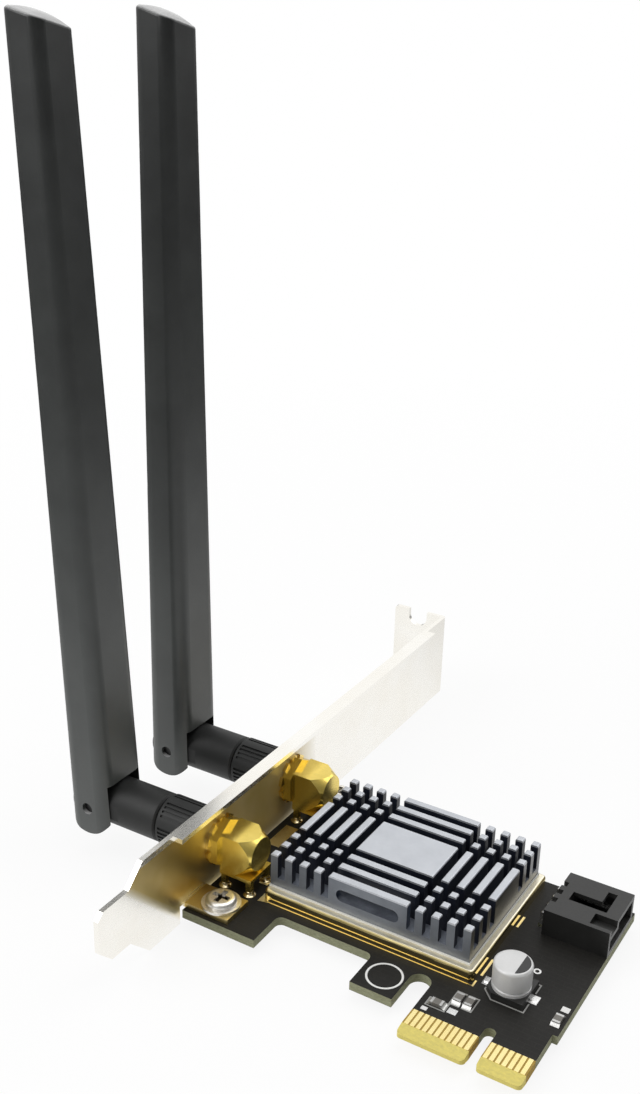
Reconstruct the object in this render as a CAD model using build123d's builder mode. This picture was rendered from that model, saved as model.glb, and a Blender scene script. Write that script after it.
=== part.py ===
from build123d import *
from math import radians, tan
import os

# A PCI Express wireless card with a finned heatsink and two folding aerials.
# X runs along the card away from the mounting bracket, Y runs up the bracket to its screw tab,
# and Z rises from the component face. The origin is the centre of the key notch in the edge
# connector, at the insertion edge, on the component face. All sizes are in millimetres.

# Edge connector and circuit board
board_thickness = 1.6
contact_pitch = 1.0
contact_width = 0.7
contact_length = 3.5
contact_foil = 0.05
contacts_left_of_key = 11
contacts_right_of_key = 7
key_to_contact = 1.5
contact_margin = 0.65
key_width = 1.9
key_depth = 8.25
bevel_run = 2.1
bevel_drop = 0.45
side_step = 0.85
side_step_rise = 6.4
side_slot_width = 3.7
side_slot_rise = 7.8
mark_tab_width = 7.5
recess_rise = 7.6
recess_fillet = 1.2
tip_fillet = 0.8
screw_tab_width = 14.45
hole_clearance = 0.05

# Mounting bracket
sheet = 0.9
fold_radius = 0.8
bracket_gap = 0.8
bracket_above_board = 15.0
bracket_below_board = 3.42
bracket_length = 120.02
tongue_reach = 14.7
tongue_length = 7.5
tongue_width = 10.2
tongue_top_drop = 3.5
tongue_shoulder_run = 3.7
tongue_foot_run = 4.9
tongue_top_corner = 1.2
tongue_foot_corner = 3.0
tab_length = 11.43
notch_radius = 2.2
notch_depth = 3.6
lip_width = 1.85
lip_start = 4.6
lip_to_tab = 9.0
ear_width = 6.2
ear_length = 8.6
ear_front_margin = 0.9
ear_hole_from_tip = 3.4
ear_edge_margin = 0.3
ear_relief = 0.5

# Bracket screws
screw_radius = 1.45
screw_flange_radius = 3.4
screw_flange_height = 0.45
screw_head_radius = 2.7
screw_head_height = 1.1
screw_head_fillet = 0.8
screw_end_below_board = 0.9
screw_recess_length = 3.2
screw_recess_width = 0.9
screw_recess_depth = 0.9

# Aerial sockets, nuts and lock washers
axis_height = 7.0
jack_spacing = 23.3
jack_to_front_ear = 1.9
jack_to_rear_screw = 0.3
block_foot_height = 2.6
block_crown = 3.2
block_end_radius = 3.0
block_end_slope = 30.0
block_flange = 0.65
leg_spacing = 5.08
leg_size = 1.0
leg_cover = 0.16
leg_hole_radius = 0.75
leg_end_below_board = 0.9
centre_leg_radius = 0.45
shoulder_across_flats = 8.0
shoulder_length = 1.6
washer_thickness = 0.6
washer_radius = 4.6
washer_teeth = 10
washer_tooth_depth = 0.7
washer_tooth_width = 1.1
barrel_radius = 3.175
barrel_reach = 7.4
barrel_bore_radius = 2.3
barrel_bore_depth = 9.0
insulator_recess = 3.0
centre_pin_radius = 0.5
centre_pin_recess = 1.0
nut_wall = 0.825
nut_height = 2.0

# Shield can and the parts under it
shield_length = 39.3
shield_height = 1.9
shield_wall = 0.2
shield_corner = 0.8
shield_edge = 0.5
shield_to_recess = 2.5
shield_to_board_back = 5.4
shield_to_jack = 1.9
chip_size = 9.0
chip_height = 0.85
crystal_length = 3.2
crystal_width = 2.5
crystal_height = 0.7
crystal_gap = 3.0
module_size = 3.0
module_height = 0.75
module_spacing = 14.0
module_gap = 5.0

# Heatsink
tape_thickness = 0.4
tape_overhang = 0.15
heatsink_end_inset = 0.9
heatsink_side_inset = 1.2
heatsink_height = 6.2
heatsink_base = 1.6
heatsink_offset = -0.45
heatsink_setback = 0.3
fins_per_side = 4
fin_width = 1.4
fin_gap = 1.45
fin_tip_fillet = 0.3
cross_cuts_per_side = 3
cross_cut_width = 1.8
pin_depth = 1.25
window_margin = 1.5
window_height = 2.3
window_rise = 3.1

# Electrolytic capacitor
can_radius = 3.15
can_height = 4.85
can_top_fillet = 0.5
can_groove_radius = 0.25
can_groove_rise = 1.0
foot_margin = 0.15
foot_height = 1.05
foot_corner = 1.3
foot_pocket = 0.3
foot_to_shield = 2.55
foot_to_recess = 1.0
lead_width = 0.8
lead_length = 1.1
lead_thickness = 0.2

# Latching header
header_depth = 11.4
header_height = 4.9
header_wall = 0.8
header_rear_wall = 2.4
header_to_shield = 4.5
header_to_board_back = 6.5
header_ways = 4
header_spacing = 2.5
header_end = 2.25
header_pin = 0.64
header_pin_inset = 1.8
header_pin_tail = 1.2
header_pin_end_below_board = 0.9
header_pin_bend = 0.5
latch_from_mouth = 2.35
latch_length = 6.6
latch_width = 2.4
latch_from_front = 4.8
latch_hook_width = 1.6
latch_hook_length = 3.1
keyway_length = 3.8
keyway_width = 2.9
keyway_depth = 1.2
keyway_from_front = 0.85
comb_width = 1.2
comb_depth = 0.9

# Chip resistors and capacitors
chip_part_length = 2.0
chip_part_width = 1.25
chip_part_height = 0.6
chip_end_length = 0.4
chip_row_rise = 2.85
chip_row_inset = 2.75
chip_pair_rise = 5.65
chip_pair_inset = 5.15
chip_pair_spacing = 1.8
chip_side_inset = 1.3
chip_side_rise = 9.55

# Aerial coupling, elbow and paddle
turn_gap = 0.3
running_gap = 0.05
coupling_back_wall = 1.2
coupling_wall = 0.825
coupling_recess = 0.9
grip_wall = 0.55
grip_back_wall = 0.7
grip_edge = 0.25
grip_ring = 0.7
flute_groups = 6
flutes_per_group = 4
flute_turn = 10.5
flute_start = 50.0
flute_depth = 0.3
flute_width = 0.45
plug_radius = 2.4
plug_flange_clearance = 0.2
plug_flange_thickness = 0.6
plug_socket_radius = 0.8
plug_seat = 3.0
elbow_radius = 4.45
elbow_reach = 13.9
elbow_edge = 0.35
shoulder_gap = 0.9
knuckle_width = 8.4
side_clearance = 0.2
ear_thickness = 1.3
fork_roof_clearance = 0.35
hinge_pin_radius = 1.1
hinge_pin_recess = 0.8
paddle_base_thickness = 9.0
paddle_top_thickness = 7.05
paddle_top_width = 8.75
paddle_base_corner = 2.6
paddle_top_corner = 2.0
paddle_height = 134.5
paddle_foot_drop = 0.5
paddle_top_slope = 16.0
paddle_side_slope = 13.0
paddle_top_edge = 0.6
paddle_wall = 1.3
paddle_floor = 4.0
cable_hole_radius = 1.3
radiator_width = 3.6
radiator_thickness = 0.8
radiator_length = 96.0
front_lean = 3.0
rear_lean = 0.45

# Places along the card, worked out from the key notch
contact_tab_left = -(key_to_contact + (contacts_left_of_key - 1) * contact_pitch + contact_margin)
contact_tab_right = key_to_contact + (contacts_right_of_key - 1) * contact_pitch + contact_margin
board_right = contact_tab_right + side_step
block_size = leg_spacing + leg_size + 2 * leg_cover
header_rear = board_right - header_depth
shield_right = header_rear - header_to_shield
shield_left = shield_right - shield_length
block_right = shield_left - shield_to_jack
block_left = block_right - block_size
shoulder_left = block_left - shoulder_length
bracket_inner = shoulder_left - washer_thickness
bracket_outer = bracket_inner - sheet
board_left = bracket_inner + bracket_gap
barrel_tip = bracket_outer - barrel_reach
ear_tip = bracket_inner + ear_length + bracket_gap
screw_x = ear_tip - ear_hole_from_tip

# Places along the bracket, worked out from the insertion edge
tab_line = bevel_run + contact_length
ear_front_y = tab_line + ear_front_margin + ear_width / 2
recess_edge = tab_line + recess_rise
side_slot_end = tab_line + side_slot_rise
jack_front_y = ear_front_y + ear_width / 2 + jack_to_front_ear + block_size / 2
jack_rear_y = jack_front_y + jack_spacing
ear_rear_y = jack_rear_y + block_size / 2 + jack_to_rear_screw + screw_flange_radius
board_back = ear_rear_y + ear_width / 2 + ear_edge_margin
shield_front = recess_edge + shield_to_recess
shield_depth = board_back - shield_to_board_back - shield_front
header_width = (header_ways - 1) * header_spacing + 2 * header_end
header_back = board_back - header_to_board_back
header_front = header_back - header_width
header_middle = (header_front + header_back) / 2
tongue_end = -tongue_reach
tab_face = tongue_end + bracket_length
bracket_top = bracket_above_board
bracket_bottom = -bracket_below_board
ear_ys = (ear_front_y, ear_rear_y)
jack_ys = (jack_front_y, jack_rear_y)

os.makedirs("parts", exist_ok=True)

CORNER = (Align.MIN, Align.MIN)
STANDING = (Align.CENTER, Align.CENTER, Align.MIN)


def write(piece, label):
    """Label a finished piece and write it to its own file."""
    piece.part.label = label
    export_step(piece.part, f"parts/{label}.step")


def upright(x, y, z):
    """Plane through a point that faces -Y, with its own X along the card and its own Y upwards."""
    return Plane((x, y, z), x_dir=(1, 0, 0), z_dir=(0, -1, 0))


def across(x, y, z):
    """Plane through a point that faces along +X, with its own X along the bracket."""
    return Plane((x, y, z), x_dir=(0, 1, 0), z_dir=(1, 0, 0))


def leg_spots(jack_y):
    """Places of a socket's four legs on the board."""
    middle = (block_left + block_right) / 2
    half = leg_spacing / 2
    return [(middle + i * half, jack_y + j * half) for i in (-1, 1) for j in (-1, 1)]


contact_xs = [-key_to_contact - i * contact_pitch for i in range(contacts_left_of_key)]
contact_xs += [key_to_contact + i * contact_pitch for i in range(contacts_right_of_key)]
header_pin_ys = [header_middle + (i - (header_ways - 1) / 2) * header_spacing for i in range(header_ways)]
header_tail_x = header_rear - header_pin_tail + header_pin / 2

# Circuit board: screw tab, recess, plain tab, side slot and keyed contact tab
with BuildPart() as circuit_board:
    with BuildSketch() as outline:
        with Locations((board_left, tab_line)):
            Rectangle(board_right - board_left, board_back - tab_line, align=CORNER)
        with Locations((contact_tab_left, 0)):
            Rectangle(contact_tab_right - contact_tab_left, tab_line, align=CORNER)
        mark_tab_left = contact_tab_left - side_slot_width - mark_tab_width
        screw_tab_right = board_left + screw_tab_width
        with Locations((screw_tab_right, tab_line)):
            Rectangle(mark_tab_left - screw_tab_right, recess_rise, align=CORNER, mode=Mode.SUBTRACT)
        with Locations((contact_tab_right, tab_line)):
            Rectangle(side_step, side_step_rise, align=CORNER, mode=Mode.SUBTRACT)
        with Locations((contact_tab_left - side_slot_width / 2, 0)):
            SlotOverall(2 * side_slot_end, side_slot_width, rotation=90, mode=Mode.SUBTRACT)
        with Locations((0, 0)):
            SlotOverall(2 * key_depth, key_width, rotation=90, mode=Mode.SUBTRACT)
        recess_corners = outline.vertices().filter_by_position(Axis.Y, recess_edge, recess_edge)
        fillet(recess_corners, recess_fillet)
        fillet(outline.vertices().group_by(Axis.Y)[0], tip_fillet)
    extrude(amount=-board_thickness)
    with BuildSketch(Plane.YZ):
        for face_z, inward in ((0, -1), (-board_thickness, 1)):
            with BuildLine():
                Polyline((0, face_z), (bevel_run, face_z), (0, face_z + inward * bevel_drop), close=True)
            make_face()
    extrude(amount=contact_tab_right - contact_tab_left, both=True, mode=Mode.SUBTRACT)
    with Locations(*[(screw_x, y) for y in ear_ys]):
        Hole(screw_radius + hole_clearance)
    for y in jack_ys:
        with Locations(*leg_spots(y)):
            Hole(leg_hole_radius)
        with Locations(((block_left + block_right) / 2, y)):
            Hole(centre_leg_radius + hole_clearance)
    with Locations(*[(header_tail_x, y) for y in header_pin_ys]):
        Hole(header_pin)
write(circuit_board, "circuit_board")

# Gilt contacts on both faces of the edge connector
with BuildPart() as edge_contacts:
    for face_z, outward in ((0, 1), (-board_thickness, -1)):
        with BuildSketch(Plane.XY.offset(face_z)):
            with Locations(*[(x, bevel_run) for x in contact_xs]):
                Rectangle(contact_width, contact_length, align=(Align.CENTER, Align.MIN))
        extrude(amount=outward * contact_foil)
write(edge_contacts, "edge_contacts")

# Folded bracket: plate with tongue, screw tab, stiffening lip and two ears that lie on the board
with BuildPart() as mounting_bracket:
    tongue_root = tongue_end + tongue_length
    tongue_top = bracket_top - tongue_top_drop
    tongue_bottom = tongue_top - tongue_width
    with BuildSketch(Plane.YZ.offset(bracket_outer)):
        with BuildLine():
            Polyline(
                (tongue_end, tongue_bottom + tongue_foot_corner),
                (tongue_end, tongue_top - tongue_top_corner),
                (tongue_end + tongue_top_corner, tongue_top),
                (tongue_root, tongue_top),
                (tongue_root + tongue_shoulder_run, bracket_top),
                (tab_face, bracket_top),
                (tab_face, bracket_bottom),
                (tongue_root + tongue_foot_run, bracket_bottom),
                (tongue_root, tongue_bottom),
                (tongue_end + tongue_foot_corner, tongue_bottom),
                close=True,
            )
        make_face()
        with Locations(*[(y, axis_height) for y in jack_ys]):
            Circle(barrel_radius + hole_clearance, mode=Mode.SUBTRACT)
        for y in ear_ys:
            with Locations((y, bracket_bottom)):
                relief = ear_width + 2 * ear_relief
                Rectangle(relief, bracket_below_board, align=(Align.CENTER, Align.MIN), mode=Mode.SUBTRACT)
    extrude(amount=sheet)
    with BuildSketch(upright(bracket_inner, tab_face, bracket_top)):
        Rectangle(tab_length + sheet, bracket_top - bracket_bottom, align=(Align.MAX, Align.MAX))
        with Locations((-sheet - tab_length / 2, 0)):
            SlotOverall(2 * notch_depth, 2 * notch_radius, rotation=90, mode=Mode.SUBTRACT)
    extrude(amount=sheet)
    with BuildSketch(upright(bracket_outer, lip_start, bracket_top)):
        Rectangle(sheet + lip_width, sheet, align=(Align.MIN, Align.MAX))
    extrude(amount=-(tab_face - lip_to_tab - lip_start))
    for y in ear_ys:
        with BuildSketch(upright(bracket_outer, y + ear_width / 2, 0)):
            Rectangle(ear_tip - bracket_outer, sheet, align=CORNER)
        extrude(amount=ear_width)
    with Locations(*[(screw_x, y) for y in ear_ys]):
        Hole(screw_radius + hole_clearance)
    lip_fold = mounting_bracket.edges().filter_by(Axis.Y).group_by(Axis.Z)[-1].sort_by(Axis.X)[0]
    fillet(lip_fold, fold_radius)
    tab_fold = mounting_bracket.edges().filter_by(Axis.Z).group_by(Axis.Y)[-1].sort_by(Axis.X)[-1]
    fillet(tab_fold, fold_radius)
write(mounting_bracket, "mounting_bracket")

# Pan-head screws with a pressed flange, one in each ear
with BuildPart() as bracket_screws:
    head_top = sheet + screw_flange_height + screw_head_height
    for y in ear_ys:
        with BuildSketch(upright(screw_x, y, 0)) as profile:
            with Locations((0, -board_thickness - screw_end_below_board)):
                Rectangle(screw_radius, board_thickness + screw_end_below_board + sheet, align=CORNER)
            with Locations((0, sheet)):
                Rectangle(screw_flange_radius, screw_flange_height, align=CORNER)
            with Locations((0, sheet + screw_flange_height)):
                Rectangle(screw_head_radius, screw_head_height, align=CORNER)
            fillet(profile.vertices().group_by(Axis.Y)[-1].sort_by(Axis.X)[-1], screw_head_fillet)
        revolve(axis=Axis((screw_x, y, 0), (0, 0, 1)))
        with Locations((screw_x, y, head_top)):
            recess_align = (Align.CENTER, Align.CENTER, Align.MAX)
            for length, width in (
                (screw_recess_length, screw_recess_width),
                (screw_recess_width, screw_recess_length),
            ):
                Box(length, width, screw_recess_depth, align=recess_align, mode=Mode.SUBTRACT)
write(bracket_screws, "bracket_screws")

# Drawn shield can, open towards the board
shield_x = (shield_left + shield_right) / 2
shield_y = shield_front + shield_depth / 2
with BuildPart() as shield_can:
    with BuildSketch():
        with Locations((shield_x, shield_y)):
            RectangleRounded(shield_length, shield_depth, shield_corner)
    extrude(amount=shield_height)
    fillet(shield_can.faces().sort_by(Axis.Z)[-1].edges(), shield_edge)
    offset(amount=-shield_wall, openings=shield_can.faces().sort_by(Axis.Z)[0])
write(shield_can, "shield_can")

# Radio chip, its gap pad, its crystal and two amplifier modules on the board under the can
with BuildPart() as radio_chip:
    with Locations((shield_x, shield_y, 0)):
        Box(chip_size, chip_size, chip_height, align=STANDING)
write(radio_chip, "radio_chip")

with BuildPart() as chip_gap_pad:
    with Locations((shield_x, shield_y, chip_height)):
        Box(chip_size, chip_size, shield_height - shield_wall - chip_height, align=STANDING)
write(chip_gap_pad, "chip_gap_pad")

with BuildPart() as reference_crystal:
    with Locations((shield_x + chip_size / 2 + crystal_gap + crystal_length / 2, shield_y, 0)):
        Box(crystal_length, crystal_width, crystal_height, align=STANDING)
    fillet(reference_crystal.edges().filter_by(Axis.Z), crystal_width / 8)
write(reference_crystal, "reference_crystal")

with BuildPart() as amplifier_modules:
    module_x = shield_x - chip_size / 2 - module_gap - module_size / 2
    with Locations((module_x, shield_y, 0)):
        with GridLocations(0, module_spacing, 1, 2):
            Box(module_size, module_size, module_height, align=STANDING)
write(amplifier_modules, "amplifier_modules")

# Heatsink: an extruded comb of fins, cross-cut into bars and pins round a plain middle land, on tape
heatsink_x = shield_x + heatsink_offset
heatsink_y = shield_y + heatsink_setback
heatsink_z = shield_height + tape_thickness
heatsink_length = shield_length - 2 * heatsink_end_inset
heatsink_depth = shield_depth - 2 * heatsink_side_inset
heatsink_front = heatsink_y - heatsink_depth / 2
fin_height = heatsink_height - heatsink_base
front_bar_length = heatsink_length - 2 * fins_per_side * (fin_width + fin_gap)
with BuildPart() as thermal_tape:
    with Locations((heatsink_x, heatsink_y, shield_height)):
        tape_length = heatsink_length + 2 * tape_overhang
        Box(tape_length, heatsink_depth + 2 * tape_overhang, tape_thickness, align=STANDING)
write(thermal_tape, "thermal_tape")

with BuildPart() as heatsink:
    with BuildSketch(upright(heatsink_x, heatsink_front, heatsink_z)) as comb:
        Rectangle(heatsink_length, heatsink_height, align=(Align.CENTER, Align.MIN))
        for side in (-1, 1):
            for i in range(fins_per_side):
                inset = (i + 1) * fin_width + (i + 0.5) * fin_gap
                with Locations((side * (heatsink_length / 2 - inset), heatsink_base)):
                    Rectangle(fin_gap, fin_height, align=(Align.CENTER, Align.MIN), mode=Mode.SUBTRACT)
        fillet(comb.vertices().group_by(Axis.Y)[-1], fin_tip_fillet)
    extrude(amount=-heatsink_depth)
    with BuildSketch(Plane((heatsink_x, heatsink_y, heatsink_z + heatsink_base))):
        for side in (-1, 1):
            for i in range(cross_cuts_per_side):
                inset = (i + 1) * pin_depth + (i + 0.5) * cross_cut_width
                with Locations((0, side * (heatsink_depth / 2 - inset))):
                    Rectangle(heatsink_length, cross_cut_width)
    extrude(amount=fin_height, mode=Mode.SUBTRACT)
    with BuildSketch(upright(heatsink_x, heatsink_front, heatsink_z + window_rise)):
        SlotOverall(front_bar_length - 2 * window_margin, window_height)
    extrude(amount=-pin_depth, mode=Mode.SUBTRACT)
write(heatsink, "heatsink")

# Electrolytic capacitor: rolled can, moulded foot and two flat leads
foot_size = 2 * (can_radius + foot_margin)
can_x = shield_right + foot_to_shield + foot_size / 2
can_y = recess_edge + foot_to_recess + foot_size / 2
can_base = foot_height - foot_pocket
with BuildPart() as capacitor_can:
    with BuildSketch(upright(can_x, can_y, can_base)) as profile:
        Rectangle(can_radius, can_height, align=CORNER)
        fillet(profile.vertices().group_by(Axis.Y)[-1].sort_by(Axis.X)[-1], can_top_fillet)
        with Locations((can_radius, can_groove_rise)):
            Circle(can_groove_radius, mode=Mode.SUBTRACT)
    revolve(axis=Axis((can_x, can_y, 0), (0, 0, 1)))
write(capacitor_can, "capacitor_can")

with BuildPart() as capacitor_foot:
    with BuildSketch(Plane((can_x, can_y, 0))) as foot:
        Rectangle(foot_size, foot_size)
        chamfer(foot.vertices().group_by(Axis.X)[0], foot_corner)
    extrude(amount=foot_height)
    with BuildSketch(Plane((can_x, can_y, can_base))):
        Circle(can_radius)
    extrude(amount=foot_pocket, mode=Mode.SUBTRACT)
write(capacitor_foot, "capacitor_foot")

with BuildPart() as capacitor_leads:
    for side, lead_align in ((-1, Align.MAX), (1, Align.MIN)):
        with Locations((can_x + side * foot_size / 2, can_y, 0)):
            Box(lead_length, lead_width, lead_thickness, align=(lead_align, Align.CENTER, Align.MIN))
write(capacitor_leads, "capacitor_leads")

# Latching header: shrouded housing with a latch slot, and bent square pins
pin_height = header_height / 2
with BuildPart() as header_housing:
    with BuildSketch(across(header_rear, header_middle, 0)):
        Rectangle(header_width, header_height, align=(Align.CENTER, Align.MIN))
    extrude(amount=header_depth)
    with BuildSketch(across(board_right, header_middle, header_wall)):
        cavity_height = header_height - 2 * header_wall
        Rectangle(header_width - 2 * header_wall, cavity_height, align=(Align.CENTER, Align.MIN))
    extrude(amount=-(header_depth - header_rear_wall), mode=Mode.SUBTRACT)
    with BuildSketch(Plane.XY.offset(header_height)):
        with Locations((board_right - latch_from_mouth, header_front + latch_from_front)):
            Rectangle(latch_length, latch_width, align=(Align.MAX, Align.MIN))
            Rectangle(latch_hook_width, latch_width + latch_hook_length, align=(Align.MAX, Align.MIN))
    extrude(amount=-header_wall, mode=Mode.SUBTRACT)
    with BuildSketch(Plane.XY.offset(header_height)):
        with Locations((board_right, header_front)):
            rib_width = keyway_from_front + keyway_width + header_wall
            Rectangle(keyway_length + header_wall, rib_width, align=(Align.MAX, Align.MIN))
    extrude(amount=-(keyway_depth + header_wall))
    with BuildSketch(Plane.XY.offset(header_height)):
        with Locations((board_right, header_front + keyway_from_front)):
            Rectangle(keyway_length, keyway_width, align=(Align.MAX, Align.MIN))
    extrude(amount=-keyway_depth, mode=Mode.SUBTRACT)
    with BuildSketch(Plane.XY.offset(header_height)):
        with Locations((header_rear, header_middle)):
            with GridLocations(0, header_spacing, 1, header_ways - 1):
                Rectangle(comb_depth, comb_width, align=(Align.MIN, Align.CENTER))
    extrude(amount=-header_height, mode=Mode.SUBTRACT)
    with BuildSketch(Plane.YZ.offset(header_rear)):
        with Locations(*[(y, pin_height) for y in header_pin_ys]):
            Rectangle(header_pin, header_pin)
    extrude(amount=header_rear_wall, mode=Mode.SUBTRACT)
write(header_housing, "header_housing")

with BuildPart() as header_pins:
    tail_end = -board_thickness - header_pin_end_below_board
    for y in header_pin_ys:
        with BuildSketch(upright(0, y + header_pin / 2, pin_height)) as pin:
            with Locations((board_right - header_pin_inset, 0)):
                run = board_right - header_pin_inset - header_rear + header_pin_tail
                Rectangle(run, header_pin, align=(Align.MAX, Align.CENTER))
            with Locations((header_rear - header_pin_tail, -header_pin / 2)):
                Rectangle(header_pin, pin_height - header_pin / 2 - tail_end, align=(Align.MIN, Align.MAX))
            outer_bend = pin.vertices().group_by(Axis.X)[0].sort_by(Axis.Y)[-1]
            fillet(outer_bend, header_pin_bend)
        extrude(amount=header_pin)
write(header_pins, "header_pins")

# Chip resistors and capacitors: place and turn of each, worked out from the contact tab
chip_spots = [
    ((contact_tab_left + chip_row_inset, tab_line + chip_row_rise), 0),
    ((contact_tab_left + chip_pair_inset, tab_line + chip_pair_rise), 90),
    ((contact_tab_left + chip_pair_inset + chip_pair_spacing, tab_line + chip_pair_rise), 90),
    ((board_right - chip_side_inset, tab_line + chip_side_rise), 90),
]
chip_places = [Location((x, y, 0), (0, 0, turn)) for (x, y), turn in chip_spots]
with BuildPart() as chip_bodies:
    with Locations(*chip_places):
        Box(chip_part_length - 2 * chip_end_length, chip_part_width, chip_part_height, align=STANDING)
write(chip_bodies, "chip_bodies")

with BuildPart() as chip_end_caps:
    for side, end_align in ((-1, Align.MIN), (1, Align.MAX)):
        with Locations(*[place * Pos(side * chip_part_length / 2, 0, 0) for place in chip_places]):
            cap_align = (end_align, Align.CENTER, Align.MIN)
            Box(chip_end_length, chip_part_width, chip_part_height, align=cap_align)
write(chip_end_caps, "chip_end_caps")


def build_jack(name, y):
    """Right-angle aerial socket: turned block with flange and legs, and a barrel through the bracket."""
    middle = (block_left + block_right) / 2
    block_top = axis_height + block_crown
    block_root_radius = block_end_radius + block_size * tan(radians(block_end_slope))
    bore_end = barrel_tip + barrel_bore_depth
    with BuildPart() as jack:
        with BuildSketch(across(block_left, y, block_foot_height)):
            Rectangle(block_size, block_top - block_foot_height, align=(Align.CENTER, Align.MIN))
        extrude(amount=block_size)
        with BuildSketch(upright(block_right, y, axis_height)):
            with BuildLine():
                Polyline(
                    (0, 0),
                    (0, block_end_radius),
                    (-block_size, block_root_radius),
                    (-block_size, 0),
                    close=True,
                )
            make_face()
        revolve(axis=Axis((block_right, y, axis_height), (1, 0, 0)), mode=Mode.INTERSECT)
        with BuildSketch(Plane((middle, y, block_foot_height))):
            Rectangle(block_size, block_size)
        extrude(amount=block_flange)
        with BuildSketch(across(shoulder_left, y, axis_height)):
            RegularPolygon(shoulder_across_flats / 2, 6, major_radius=False, rotation=30)
        extrude(amount=shoulder_length)
        with BuildSketch(across(barrel_tip, y, axis_height)):
            Circle(barrel_radius)
        extrude(amount=shoulder_left - barrel_tip)
        with BuildSketch(across(barrel_tip, y, axis_height)):
            Circle(barrel_bore_radius)
        extrude(amount=barrel_bore_depth, mode=Mode.SUBTRACT)
        leg_end = -board_thickness - leg_end_below_board
        with BuildSketch(Plane.XY.offset(leg_end)):
            with Locations(*leg_spots(y)):
                Rectangle(leg_size, leg_size)
            with Locations((middle, y)):
                Circle(centre_leg_radius)
        extrude(amount=block_foot_height - leg_end)
    write(jack, f"{name}_jack_body")

    with BuildPart() as insulator:
        with BuildSketch(across(bore_end, y, axis_height)):
            Circle(barrel_bore_radius)
            Circle(centre_pin_radius, mode=Mode.SUBTRACT)
        extrude(amount=barrel_tip + insulator_recess - bore_end)
    write(insulator, f"{name}_jack_insulator")

    with BuildPart() as centre_pin:
        with BuildSketch(across(bore_end, y, axis_height)):
            Circle(centre_pin_radius)
        extrude(amount=barrel_tip + centre_pin_recess - bore_end)
        chamfer(centre_pin.faces().sort_by(Axis.X)[0].edges(), centre_pin_radius / 2)
    write(centre_pin, f"{name}_jack_pin")


build_jack("front", jack_front_y)
build_jack("rear", jack_rear_y)

# Toothed lock washers inside the bracket and hexagonal nuts outside it, one pair for each socket
with BuildPart() as lock_washers:
    for y in jack_ys:
        with BuildSketch(across(bracket_inner, y, axis_height)):
            Circle(washer_radius)
            Circle(barrel_radius + hole_clearance, mode=Mode.SUBTRACT)
            with PolarLocations(washer_radius, washer_teeth):
                Rectangle(2 * washer_tooth_depth, washer_tooth_width, mode=Mode.SUBTRACT)
        extrude(amount=washer_thickness)
write(lock_washers, "lock_washers")

with BuildPart() as socket_nuts:
    for y in jack_ys:
        with BuildSketch(across(bracket_outer, y, axis_height)):
            RegularPolygon(barrel_radius + nut_wall, 6, major_radius=False)
            Circle(barrel_radius + hole_clearance, mode=Mode.SUBTRACT)
        extrude(amount=-nut_height)
write(socket_nuts, "socket_nuts")


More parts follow.
